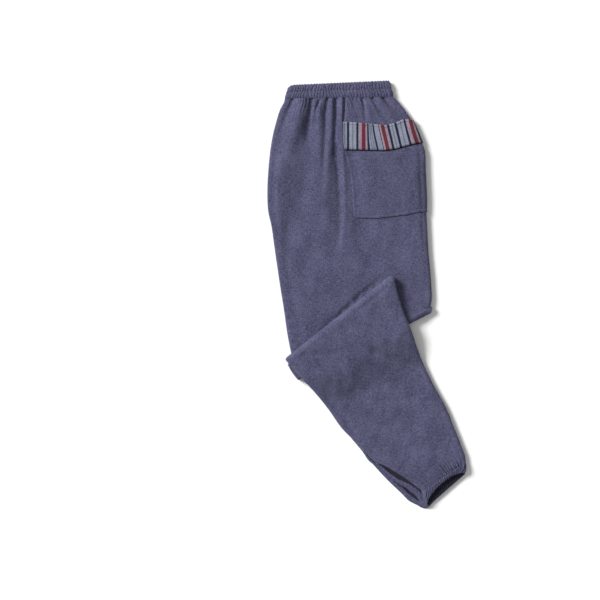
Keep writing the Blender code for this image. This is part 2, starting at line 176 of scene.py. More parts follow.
def section_frame(rows, places):
    """Left end, direction across and width of each section, as columns for broadcasting."""
    row = read_table(rows, places)
    left, right = row[:, 0:2], row[:, 2:4]
    wide = np.hypot(*(right - left).T)
    return left, (right - left) / wide[:, None], wide


def rolled(u, wide, offset):
    """Inset and depth of a place across a leg that is rolled under at both edges.

    u runs 0 to 1 over the top, 1 to 2 round the right edge and 2 to 3 back under it. Below 0 it
    does the same on the left. The offset moves the place into the cloth.
    """
    v = np.where(u < 0, 1 - u, u)
    turn = np.clip(v - 1, 0, 1) * math.pi
    top = ROLL_OUT + v * (wide - 2 * ROLL_OUT)
    edge = wide - ROLL_OUT + (ROLL_OUT - offset) * np.sin(turn)
    under = wide - ROLL_OUT - (v - 2) * TUCK
    inset = np.where(v <= 1, top, np.where(v <= 2, edge, under))
    sink = ROLL_DOWN - (ROLL_DOWN - offset) * np.cos(turn)
    return np.where(u < 0, wide - inset, inset), np.where(v <= 1, offset, sink)


print("a soft step at a quarter:", float(soft_step(0.25)))

# %% [markdown]
# ## Creases and gathers
#
# Cloth never folds evenly, so the main creases are listed one by one: each is a short path with
# its width and depth at both ends, and a negative depth is a ridge. The small gathers under an
# elastic are too many for that. They come from a loop with a fixed seed, each with its own place,
# width, depth and reach. A third function adds the slow unevenness that every laid cloth has.

# %% Creases
Crease = namedtuple("Crease", "path wide_start wide_end deep_start deep_end")

THIGH_CREASES = [
    Crease([(-130.5, 356), (-143.1, 326), (-156, 296)], 4.5, 11.0, 4.8, 0.8),
    Crease([(-107.1, 358), (-108, 338)], 2.6, 2.8, 3.2, 0.8),
    Crease([(-99.9, 358), (-101, 329), (-104, 311), (-107, 280)], 4.6, 9.0, 6.2, 2.6),
    Crease([(-103, 305), (-105, 262), (-109, 205), (-121, 165), (-134, 135), (-142, 60)],
           15.0, 24.0, 4.0, 2.2),
    Crease([(-85, 348), (-91, 329), (-93, 298)], 3.2, 5.0, 4.0, 1.0),
    Crease([(-69.3, 358), (-73.5, 325), (-74, 290), (-78.3, 225)], 4.2, 7.0, 5.8, 1.2),
    Crease([(-54.9, 360), (-55, 325), (-56.5, 284), (-56, 250)], 4.5, 6.0, 5.8, 3.4),
    Crease([(-55, 264), (-50, 214), (-47.5, 160), (-48, 128), (-52, 85)], 6.0, 9.0, 4.4, 1.0),
    Crease([(-62, 270), (-57, 214), (-54, 160), (-57, 100)], 12.0, 14.0, 2.4, 1.0),
    Crease([(-45, 356), (-43.5, 290), (-42, 235), (-39.5, 155), (-43, 90)], 4.0, 6.0, -2.4, -1.0),
    Crease([(-38.8, 362), (-40.5, 329), (-42, 311)], 2.4, 3.0, 4.6, 2.4),
    Crease([(-24, 358), (-23, 334)], 3.0, 4.0, 2.4, 0.4),
    Crease([(-8.1, 359), (-4.5, 336), (-1, 316)], 3.4, 5.0, 4.4, 1.6),
    Crease([(2, 350), (10, 332), (22, 312)], 9.0, 10.0, 1.6, 1.4),
    Crease([(11, 353), (24.3, 330), (40, 311)], 4.6, 8.0, 4.8, 2.4),
    Crease([(22, 356), (44, 322)], 3.4, 6.0, -1.4, -1.0),
    Crease([(29.7, 354), (42.3, 340), (56, 330)], 3.0, 4.2, 3.4, 1.0),
    Crease([(-118, 345), (-130, 290), (-147, 240), (-156, 205), (-160, 150), (-157, 80)],
           13.0, 16.0, -3.0, -2.0),
    Crease([(-84, 346), (-86, 290), (-84, 240)], 6.0, 8.0, -1.6, -0.8),
    Crease([(-64, 350), (-65, 290), (-72, 200), (-72, 150), (-74, 80)], 5.0, 14.0, -1.8, -1.2),
    Crease([(92, 280), (98, 240), (101, 180), (103, 100)], 26.0, 24.0, -3.0, -2.0),
    Crease([(-90, -70), (-57, -45), (-29, -19)], 5.5, 7.0, 1.2, 5.2),
    Crease([(-19, -10), (5, 11), (33, 34)], 7.0, 5.0, 5.2, 1.6),
    Crease([(-24, 250), (-18, 200), (-14, 140), (-8, 90)], 15.0, 15.0, 2.2, 0.8),
    Crease([(0, 128), (10, 60), (20, 10)], 14.0, 16.0, 1.6, 1.0),
    Crease([(70, 130), (78, 60), (84, 10)], 12.0, 14.0, -1.4, -0.9),
    Crease([(-112, 70), (-98, 0), (-92, -60)], 15.0, 16.0, 1.4, 0.6),
]
SHIN_CREASES = [
    Crease([(12, -100), (60, -119), (96, -134), (118, -150)], 9.0, 7.0, 1.8, 5.0),
    Crease([(-60, -60), (-20, -82), (30, -84)], 10.0, 10.0, -1.2, -0.8),
    Crease([(-12, -230), (30, -236), (60, -224)], 14.0, 14.0, 1.2, 0.8),
    Crease([(22, -193), (72, -187), (104, -172)], 9.0, 8.0, 1.9, 0.8),
    Crease([(-62, -203), (-38, -222), (-29, -250)], 7.0, 8.0, 2.4, 1.0),
    Crease([(-86, -120), (-60, -146)], 6.0, 7.0, 1.8, 1.2),
    Crease([(-110, -106), (-74, -107), (-40, -98)], 7.0, 6.0, 1.5, 0.9),
    Crease([(-30, -60), (20, -60), (44, -68)], 9.0, 9.0, 1.2, 0.8),
    Crease([(-50, -172), (10, -150), (50, -150)], 12.0, 10.0, -1.4, -0.6),
    Crease([(60, -250), (110, -232)], 12.0, 12.0, 1.0, 0.6),
    Crease([(-20, -30), (10, -8), (36, 14)], 5.0, 5.0, 1.0, 0.7),
]
POCKET_CREASES = [
    Crease([(-38, 248.5), (0, 248), (26, 247)], 2.0, 2.2, 2.2, 1.0),
    Crease([(-16, 216), (-9, 194), (-3, 172)], 3.0, 3.4, 1.6, 1.0),
    Crease([(76, 260), (86, 256), (99, 249)], 4.5, 4.0, 2.2, 2.8),
]


def crease_depth(creases, x, y):
    """How far the cloth sinks at each point, under all the creases of a table."""
    depth = np.zeros_like(x)
    for crease in creases:
        line = read_table(crease.path, np.linspace(0, len(crease.path) - 1, 5 * len(crease.path)))
        nearest = np.full_like(x, 1e9)
        share = np.zeros_like(x)
        for i, (a, b) in enumerate(zip(line[:-1], line[1:])):
            run = b - a
            t = np.clip(((x - a[0]) * run[0] + (y - a[1]) * run[1]) / run.dot(run), 0, 1)
            far = np.hypot(x - a[0] - t * run[0], y - a[1] - t * run[1])
            closer = far < nearest
            nearest = np.where(closer, far, nearest)
            share = np.where(closer, (i + t) / (len(line) - 1), share)
        wide = crease.wide_start + (crease.wide_end - crease.wide_start) * share
        deep = crease.deep_start + (crease.deep_end - crease.deep_start) * share
        depth += deep * np.exp(-1.5 * (nearest / wide) ** 2)
    return depth


def gathers(u, below, count, deep, reach, seed, least=0.3):
    """Small folds that run away from an elastic and die out, each in its own way."""
    draw = np.random.RandomState(seed)
    depth = np.zeros_like(u)
    for k in range(count):
        middle = (k + 0.5 + draw.uniform(-0.32, 0.32)) / count
        wide = draw.uniform(0.22, 0.40) / count
        long = reach * draw.uniform(0.35, 1.5)
        lean = draw.uniform(-0.25, 0.25) / count
        off = (u - middle - lean * below / reach) / wide
        depth += deep * draw.uniform(least, 1.0) * np.exp(-off * off - (below / long) ** 1.6)
    return depth


def uneven(x, y, size, seed, waves=14):
    """A slow, even-handed unevenness of about that wavelength, from -1 to 1 for the most part."""
    draw = np.random.RandomState(seed)
    total = np.zeros_like(x)
    for _ in range(waves):
        angle, phase = draw.uniform(0, 2 * math.pi, 2)
        turns = 2 * math.pi / (size * draw.uniform(0.7, 1.6))
        total += np.cos(turns * (x * math.cos(angle) + y * math.sin(angle)) + phase)
    return total / math.sqrt(waves / 2) / 1.6


print("creases:", len(THIGH_CREASES) + len(SHIN_CREASES) + len(POCKET_CREASES))

# %% [markdown]
# ## The surface of each leg
#
# The thigh lies flat and is rolled under at both edges. It puffs up below the waistband, where the
# elastic gathers it. The shin starts by turning round the top fold, lies on the folded knee and
# then comes down to the table, so its base is a function of how far a point is past the knee.


# %% Thigh and shin surfaces
PUFF = 4.6            # lift of the fullness below the waistband
DEEPEST_CREASE = 7.0


def top_fade(u):
    """1 over the top of a leg, and 0 where it starts to roll under."""
    return soft_step(np.minimum(u / 0.05, (1 - u) / 0.03))


def thigh_surface(u, places, offset):
    """Points of the thigh's outer ply for arrays of places across and along it."""
    left, across, wide = section_frame(THIGH, places)
    inset, sink = rolled(u[None, :], wide[:, None], offset)
    x = left[:, None, 0] + across[:, None, 0] * inset
    y = left[:, None, 1] + across[:, None, 1] * inset
    return thigh_lifted(u[None, :] + 0 * x, x, y, sink)


def thigh_lifted(u, x, y, sink):
    """Places of the plan lifted by the puff, the unevenness, the creases and the gathers."""
    flat_u = np.clip(u, 0, 1)
    below = np.maximum(0.0, WAIST_SEAM_Y - y)
    puff = PUFF * soft_step((y - 60.0) / 260.0) * soft_step(np.minimum(flat_u, 1 - flat_u) / 0.16)
    puff = puff * (0.6 + 0.4 * soft_step(below / 16.0))
    rise = puff + 0.8 * uneven(x, y, 75.0, 3) + 0.35 * uneven(x, y, 26.0, 4)
    rise = rise - np.minimum(crease_depth(THIGH_CREASES, x, y), DEEPEST_CREASE)
    rise = rise - gathers(flat_u, below, 60, 1.7, 20.0, 11)
    z = THIGH_TOP + top_fade(flat_u) * rise - sink
    return np.stack([x, y, z], axis=-1)


def beyond_fold(x, y):
    """How far points of the plan lie past the lower fold."""
    a, b = np.array(FOLD_LEFT), np.array(FOLD_RIGHT)
    run = (b - a) / math.hypot(*(b - a))
    return (x - a[0]) * run[1] - (y - a[1]) * run[0]


def shin_base(x, y):
    """Height under the shin: on the folded knee at first, then down to the table."""
    return SHIN_BASE * (1 - soft_step((beyond_fold(x, y) - LEAVE_FOLD) / (TOUCH_DOWN - LEAVE_FOLD)))


def shin_surface(u, places, offset):
    """Points of the shin's outer ply. Places below 0 run down round the top fold."""
    left, across, wide = section_frame(SHIN, np.maximum(0.0, places))
    inset, sink = rolled(u[None, :], wide[:, None], offset)
    x = left[:, None, 0] + across[:, None, 0] * inset
    y = left[:, None, 1] + across[:, None, 1] * inset
    flat_u = np.clip(u, 0, 1)[None, :] + 0 * x
    above_hem = (len(SHIN) - 1 - np.clip(places, 0, None))[:, None] * SHIN_ROW + 0 * x
    rise = 0.8 * uneven(x, y, 60.0, 5) + 0.35 * uneven(x, y, 24.0, 6)
    rise = rise - crease_depth(SHIN_CREASES, x, y)
    rise = rise - gathers(flat_u, above_hem, 32, 3.4, 20.0, 12, 0.6)
    top = shin_base(x, y) + THIGH_TOP + top_fade(flat_u) * rise
    turn = np.maximum(0.0, -places)[:, None] * math.pi
    nose = (top - KNEE_BASE) / 2
    away = (NOSE_OUT - sink) * np.sin(turn)
    x = x - across[:, None, 1] * away
    y = y + across[:, None, 0] * away
    z = np.where(turn > 0, top - nose + (nose - sink) * np.cos(turn), top - sink)
    return np.stack([x, y, z], axis=-1)


print("the shin stands", round(SHIN_BASE + THIGH_TOP, 1), "mm high on the folded knee")

# %% [markdown]
# ## From grids to closed cloth
#
# A ply of cloth is a wall between an outer grid of points and an inner one. The inner side is never
# seen close up, so it may have fewer points: `stride` says how many outer cells one inner cell
# spans, and the rim is made of many-sided faces that join the two. Each mesh gets a UV map in
# decimetres of cloth, so that the weave follows the grain when a leg turns.


# %% Mesh builders
def new_piece(name, points, faces, uvs, materials, face_materials=None):
    """A mesh object from points in millimetres, with a UV map named cloth."""
    mesh = bpy.data.meshes.new(name)
    mesh.from_pydata((np.asarray(points) * MM).tolist(), [], faces)
    layer = mesh.uv_layers.new(name="cloth")
    corner_points = np.empty(len(mesh.loops), int)
    mesh.loops.foreach_get("vertex_index", corner_points)
    layer.data.foreach_set("uv", (np.asarray(uvs)[corner_points] * DM).ravel())
    for material in materials:
        mesh.materials.append(material)
    if face_materials is not None:
        mesh.polygons.foreach_set("material_index", face_materials)
    mesh.shade_smooth()
    mesh.validate()
    piece = bpy.data.objects.new(name, mesh)
    bpy.context.scene.collection.objects.link(piece)
    return piece


def cloth_lengths(grid):
    """Distances over the cloth: across each row from its middle, and down from the first row."""
    steps = np.linalg.norm(np.diff(grid[:, :, :2], axis=1), axis=2)
    run = np.concatenate([np.zeros((len(grid), 1)), np.cumsum(steps, axis=1)], axis=1)
    run -= run[:, run.shape[1] // 2][:, None]
    middle = grid[:, grid.shape[1] // 2]
    down = np.concatenate([[0.0], np.cumsum(np.linalg.norm(np.diff(middle, axis=0), axis=1))])
    return np.stack([run, -down[:, None] + 0 * run], axis=-1)


def ply(name, outer, inner, stride, materials):
    """A closed wall of cloth between a fine outer grid and a coarse inner one."""
    rows, cols = outer.shape[:2]
    keep_r = np.unique(np.append(np.arange(0, rows, stride), rows - 1))
    keep_c = np.unique(np.append(np.arange(0, cols, stride), cols - 1))
    lengths = cloth_lengths(outer)
    points = np.concatenate([outer.reshape(-1, 3), inner[np.ix_(keep_r, keep_c)].reshape(-1, 3)])
    uvs = np.concatenate([lengths.reshape(-1, 2), lengths[np.ix_(keep_r, keep_c)].reshape(-1, 2)])
    index = np.arange(rows * cols).reshape(rows, cols)
    low = rows * cols + np.arange(len(keep_r) * len(keep_c)).reshape(len(keep_r), len(keep_c))

    def quads(grid):
        return np.stack([grid[:-1, :-1], grid[:-1, 1:], grid[1:, 1:], grid[1:, :-1]], -1)

    faces = quads(index).reshape(-1, 4)[:, ::-1].tolist() + quads(low).reshape(-1, 4).tolist()

    def rim(fine, coarse, keep, turn):
        for k in range(len(keep) - 1):
            face = list(fine[keep[k]:keep[k + 1] + 1]) + [coarse[k + 1], coarse[k]]
            faces.append([int(i) for i in (face[::-1] if turn else face)])

    rim(index[0], low[0], keep_c, False)
    rim(index[-1], low[-1], keep_c, True)
    rim(index[:, 0], low[:, 0], keep_r, True)
    rim(index[:, -1], low[:, -1], keep_r, False)
    piece = new_piece(name, points, faces, uvs, materials)
    face_outwards(piece)
    return piece


def face_outwards(piece):
    """Turns the faces of a closed mesh outwards."""
    work = bmesh.new()
    work.from_mesh(piece.data)
    bmesh.ops.recalc_face_normals(work, faces=work.faces)
    work.to_mesh(piece.data)
    work.free()


def tube(name, loops, uvs, materials, closed=False, face_materials=None):
    """A loft through closed loops of points: capped at both ends, or closed on itself."""
    rows, cols = loops.shape[:2]
    index = np.arange(rows * cols).reshape(rows, cols)
    ahead = np.roll(index, -1, axis=0) if closed else index[1:]
    here = index if closed else index[:-1]
    faces = np.stack([here, np.roll(here, -1, 1), np.roll(ahead, -1, 1), ahead], -1)
    faces = faces.reshape(-1, 4).tolist()
    if not closed:
        faces += [index[0][::-1].tolist(), index[-1].tolist()]
    piece = new_piece(name, loops.reshape(-1, 3), faces, uvs.reshape(-1, 2), materials,
                      face_materials)
    face_outwards(piece)
    return piece


def joined(name, pieces):
    """Several meshes made one object."""
    work = bmesh.new()
    for piece in pieces:
        work.from_mesh(piece.data)
    mesh = bpy.data.meshes.new(name)
    work.to_mesh(mesh)
    work.free()
    for material in pieces[0].data.materials:
        mesh.materials.append(material)
    for piece in pieces:
        bpy.data.objects.remove(piece, do_unlink=True)
    whole = bpy.data.objects.new(name, mesh)
    bpy.context.scene.collection.objects.link(whole)
    return whole


def triangles(piece):
    """How many triangles the faces of a piece make."""
    return sum(len(p.vertices) - 2 for p in piece.data.polygons)


print("mesh builders ready")

# %% [markdown]
# ## Cloth finishes
#
# Chambray is a plain weave with two colours of yarn, here a grey mauve and a navy, spun unevenly.
# From a step away the threads can't be counted. What shows is a soft mottle, longer along the
# threads, and a scatter of dark slubs. One node group makes all of that from the cloth's own UV
# map, and every material uses it with its own colours. The Principled shader stays in the
# material, because an export can't read a shader that is hidden in a group.


# %% Node helpers and the slub weave group
NODE_OPTIONS = ("operation", "blend_type", "data_type", "noise_dimensions", "interpolation_type",
                "uv_map", "mode")


def add_node(tree, kind, **settings):
    """A node with its options, and the values of its inputs by name."""
    node = tree.nodes.new(kind)
    for key, value in settings.items():
        if key in NODE_OPTIONS:
            setattr(node, key, value)
        else:
            node.inputs[key].default_value = value
    return node


def maths(tree, operation, second=None):
    """A Math node, with its second input set where that is a plain number."""
    node = add_node(tree, "ShaderNodeMath", operation=operation)
    if second is not None:
        node.inputs[1].default_value = second
    return node


def new_range(tree, from_low, from_high, to_low, to_high):
    """A node that maps one range of values to another."""
    node = add_node(tree, "ShaderNodeMapRange")
    values = {"From Min": from_low, "From Max": from_high, "To Min": to_low, "To Max": to_high}
    for name, value in values.items():
        node.inputs[name].default_value = value
    return node


def wire(tree, *pairs):
    """Links each output to its input."""
    for out, into in pairs:
        tree.links.new(out, into)


def socket(tree, name, way, kind, value=None):
    """A named input or output of a group."""
    made = tree.interface.new_socket(name=name, in_out=way, socket_type=kind)
    if value is not None:
        made.default_value = value
    return made


def scaled_noise(tree, place, across, along, detail, rough):
    """Noise stretched along one direction of the cloth."""
    stretch = add_node(tree, "ShaderNodeMapping")
    stretch.inputs["Scale"].default_value = (across, along, 1.0)
    noise = add_node(tree, "ShaderNodeTexNoise", Scale=1.0, Detail=detail, Roughness=rough)
    wire(tree, (place, stretch.inputs["Vector"]),
         (stretch.outputs["Vector"], noise.inputs["Vector"]))
    return noise.outputs["Fac"]


def ramped(tree, value, low, high):
    """0 below the low value and 1 above the high one, with a soft step between."""
    step = add_node(tree, "ShaderNodeMapRange", interpolation_type="SMOOTHSTEP")
    step.inputs["From Min"].default_value = low
    step.inputs["From Max"].default_value = high
    wire(tree, (value, step.inputs["Value"]))
    return step.outputs["Result"]


def make_slub_weave():
    """Cloth place in; colour share, slub mask and height out."""
    tree = bpy.data.node_groups.new("slub_weave", "ShaderNodeTree")
    socket(tree, "Place", "INPUT", "NodeSocketVector")
    socket(tree, "Mottle", "INPUT", "NodeSocketFloat", 1.0)
    socket(tree, "Slubs", "INPUT", "NodeSocketFloat", 1.0)
    socket(tree, "Tint", "OUTPUT", "NodeSocketFloat")
    socket(tree, "Dark", "OUTPUT", "NodeSocketFloat")
    socket(tree, "Height", "OUTPUT", "NodeSocketFloat")
    start = add_node(tree, "NodeGroupInput")
    end = add_node(tree, "NodeGroupOutput")
    place = start.outputs["Place"]
    # Warp runs down the leg, weft across it
    warp = scaled_noise(tree, place, 62.0, 17.0, 2.0, 0.6)
    weft = scaled_noise(tree, place, 17.0, 62.0, 2.0, 0.6)
    fine = scaled_noise(tree, place, 150.0, 130.0, 1.0, 0.5)
    cloud = scaled_noise(tree, place, 3.2, 2.2, 2.0, 0.5)
    both = maths(tree, "ADD")
    more = maths(tree, "MULTIPLY_ADD", 0.8)
    slow = maths(tree, "MULTIPLY_ADD", 0.5)
    centred = maths(tree, "SUBTRACT", 0.5 * (2.0 + 0.8 + 0.5))
    tint = maths(tree, "MULTIPLY")
    wire(tree, (warp, both.inputs[0]), (weft, both.inputs[1]),
         (fine, more.inputs[0]), (both.outputs[0], more.inputs[2]),
         (cloud, slow.inputs[0]), (more.outputs[0], slow.inputs[2]),
         (slow.outputs[0], centred.inputs[0]),
         (centred.outputs[0], tint.inputs[0]), (start.outputs["Mottle"], tint.inputs[1]),
         (tint.outputs[0], end.inputs["Tint"]))
    # Slubs: short dark dashes along either thread
    upright = ramped(tree, scaled_noise(tree, place, 70.0, 20.0, 0.0, 0.5), 0.68, 0.80)
    sideways = ramped(tree, scaled_noise(tree, place, 20.0, 76.0, 0.0, 0.5), 0.70, 0.82)
    most = maths(tree, "MAXIMUM")
    dark = maths(tree, "MULTIPLY")
    wire(tree, (upright, most.inputs[0]), (sideways, most.inputs[1]),
         (most.outputs[0], dark.inputs[0]), (start.outputs["Slubs"], dark.inputs[1]),
         (dark.outputs[0], end.inputs["Dark"]))
    # Height of the threads, a plain weave of half a millimetre, with the slubs standing up
    weave = add_node(tree, "ShaderNodeTexChecker", Scale=220.0)
    relief = maths(tree, "MULTIPLY_ADD", 0.35)
    total = maths(tree, "ADD")
    wire(tree, (place, weave.inputs["Vector"]), (weave.outputs["Fac"], relief.inputs[0]),
         (both.outputs[0], relief.inputs[2]), (relief.outputs[0], total.inputs[0]),
         (most.outputs[0], total.inputs[1]), (total.outputs[0], end.inputs["Height"]))
    return tree


slub_weave = make_slub_weave()
print("node group:", slub_weave.name, "with", len(slub_weave.nodes), "nodes")

# %% [markdown]
# ## Materials from the group
#
# The chambray mixes its two yarn colours by the group's tint and lays the dark slubs over them.
# Cotton scatters a little light at grazing angles, which the sheen gives. The pocket's band is
# another cotton, woven in stripes: its chart below lists one repeat, in millimetres, and a colour
# ramp with constant steps turns the distance across the band into the stripe's colour.


# %% Chambray and thread
def cloth_material(name, light, deep, slub, mottle=1.0, slubs=1.0):
    """A chambray of two yarn colours, all values linear."""
    material = bpy.data.materials.new(name)
    material.use_nodes = True
    tree = material.node_tree
    shader = tree.nodes["Principled BSDF"]
    shader.inputs["Roughness"].default_value = 0.93
    shader.inputs["Specular IOR Level"].default_value = 0.18
    shader.inputs["Sheen Weight"].default_value = 0.16
    shader.inputs["Sheen Roughness"].default_value = 0.5
    shader.inputs["Sheen Tint"].default_value = (0.75, 0.75, 0.9, 1.0)
    place = add_node(tree, "ShaderNodeUVMap", uv_map="cloth")
    weave = add_node(tree, "ShaderNodeGroup")
    weave.node_tree = slub_weave
    weave.inputs["Mottle"].default_value = mottle
    weave.inputs["Slubs"].default_value = slubs
    share = ramped(tree, weave.outputs["Tint"], -0.62, 0.62)
    yarns = add_node(tree, "ShaderNodeMix", data_type="RGBA")
    yarns.inputs["A"].default_value = (*deep, 1.0)
    yarns.inputs["B"].default_value = (*light, 1.0)
    slubbed = add_node(tree, "ShaderNodeMix", data_type="RGBA")
    slubbed.inputs["B"].default_value = (*slub, 1.0)
    bump = add_node(tree, "ShaderNodeBump", Strength=0.32, Distance=0.0006)
    wire(tree, (place.outputs["UV"], weave.inputs["Place"]),
         (share, yarns.inputs["Factor"]),
         (weave.outputs["Dark"], slubbed.inputs["Factor"]),
         (yarns.outputs["Result"], slubbed.inputs["A"]),
         (slubbed.outputs["Result"], shader.inputs["Base Color"]),
         (weave.outputs["Height"], bump.inputs["Height"]),
         (bump.outputs["Normal"], shader.inputs["Normal"]))
    return material


chambray = cloth_material("mauve_chambray", (0.113, 0.112, 0.196), (0.029, 0.031, 0.064),
                          (0.013, 0.015, 0.042), 1.25, 0.8)
# A much darker chambray is painted shade: it stands in for the shadow in the hollows between plies,
# inside the casings and just behind the foot of the pocket's band.
painted_shade_chambray = cloth_material("painted_shade_chambray", (0.021, 0.022, 0.038), (0.008, 0.009, 0.018),
                                 (0.006, 0.007, 0.016))
thread = cloth_material("mauve_thread", (0.050, 0.050, 0.092), (0.036, 0.037, 0.072),
                        (0.03, 0.03, 0.07), 0.4, 0.0)
print("chambray and thread made")

# %% Striped cotton
PALE, COOL, PINK = (0.25, 0.27, 0.345), (0.20, 0.225, 0.305), (0.28, 0.225, 0.285)
WINE, BRICK = (0.135, 0.019, 0.032), (0.125, 0.022, 0.027)
NAVY, LINE, GREENISH = (0.012, 0.015, 0.040), (0.10, 0.115, 0.15), (0.23, 0.25, 0.32)

Stripe = namedtuple("Stripe", "wide colour")
STRIPES = [
    Stripe(6.4, WINE), Stripe(3.4, PINK), Stripe(3.0, NAVY),
    Stripe(2.6, COOL), Stripe(0.9, LINE), Stripe(2.2, COOL), Stripe(0.9, LINE), Stripe(2.4, COOL),
    Stripe(3.2, NAVY), Stripe(8.7, GREENISH), Stripe(1.6, NAVY), Stripe(3.2, PINK),
    Stripe(6.6, BRICK), Stripe(4.6, PINK), Stripe(3.9, NAVY),
    Stripe(4.1, PALE), Stripe(1.2, LINE), Stripe(4.1, PALE), Stripe(4.0, NAVY),
    Stripe(5.6, PALE), Stripe(1.6, LINE), Stripe(5.6, PALE), Stripe(3.6, NAVY),
    Stripe(6.2, PINK),
]
STRIPE_START = 33.0   # where the first wine stripe starts, from the band's left end
repeat = sum(s.wide for s in STRIPES)


def make_striped_cotton():
    """Stripes from the chart, shaken and worn by the weave."""
    material = bpy.data.materials.new("striped_cotton")
    material.use_nodes = True
    tree = material.node_tree
    shader = tree.nodes["Principled BSDF"]
    shader.inputs["Roughness"].default_value = 0.9
    shader.inputs["Specular IOR Level"].default_value = 0.2
    shader.inputs["Sheen Weight"].default_value = 0.1
    place = add_node(tree, "ShaderNodeUVMap", uv_map="cloth")
    weave = add_node(tree, "ShaderNodeGroup")
    weave.node_tree = slub_weave
    apart = add_node(tree, "ShaderNodeSeparateXYZ")
    shake = maths(tree, "MULTIPLY_ADD", 0.006)
    turns = maths(tree, "DIVIDE", repeat * DM)
    part = maths(tree, "FRACT")
    ramp = add_node(tree, "ShaderNodeValToRGB")
    ramp.color_ramp.interpolation = "CONSTANT"
    steps = ramp.color_ramp.elements
    done = 0.0
    for i, stripe in enumerate(STRIPES):
        step = steps[i] if i < 2 else steps.new(done / repeat)
        step.position = done / repeat
        step.color = (*stripe.colour, 1.0)
        done += stripe.wide
    worn = add_node(tree, "ShaderNodeMix", data_type="RGBA", blend_type="MULTIPLY")
    worn.inputs["Factor"].default_value = 0.85
    grey = new_range(tree, -0.7, 0.7, 0.35, 1.4)
    bump = add_node(tree, "ShaderNodeBump", Strength=0.4, Distance=0.0006)
    wire(tree, (place.outputs["UV"], weave.inputs["Place"]),
         (place.outputs["UV"], apart.inputs["Vector"]),
         (weave.outputs["Tint"], shake.inputs[0]), (apart.outputs["X"], shake.inputs[2]),
         (shake.outputs[0], turns.inputs[0]), (turns.outputs[0], part.inputs[0]),
         (part.outputs[0], ramp.inputs["Fac"]), (ramp.outputs["Color"], worn.inputs["A"]),
         (weave.outputs["Tint"], grey.inputs["Value"]),
         (grey.outputs["Result"], worn.inputs["B"]),
         (worn.outputs["Result"], shader.inputs["Base Color"]),
         (weave.outputs["Height"], bump.inputs["Height"]),
         (bump.outputs["Normal"], shader.inputs["Normal"]))
    return material


striped_cotton = make_striped_cotton()
print("stripes:", len(STRIPES), "in a repeat of", round(repeat, 1), "mm")

# %% [markdown]
# ## Gathered casings with Geometry Nodes
#
# Cloth that is drawn up on an elastic stands in close ribs that run across the elastic. The rule is
# simple: push each point out along its normal by a wave of its distance along the elastic, a little
# unsteady, and only where the piece says that it may. That is a good job for a Geometry Nodes tree,
# because the mesh and the rule stay apart and the rib's pitch and depth are named inputs.


# %% The rib tree
def attribute(tree, name, kind="FLOAT"):
    """A value that the mesh carries at each point."""
    node = add_node(tree, "GeometryNodeInputNamedAttribute", data_type=kind)
    node.inputs["Name"].default_value = name
    return node


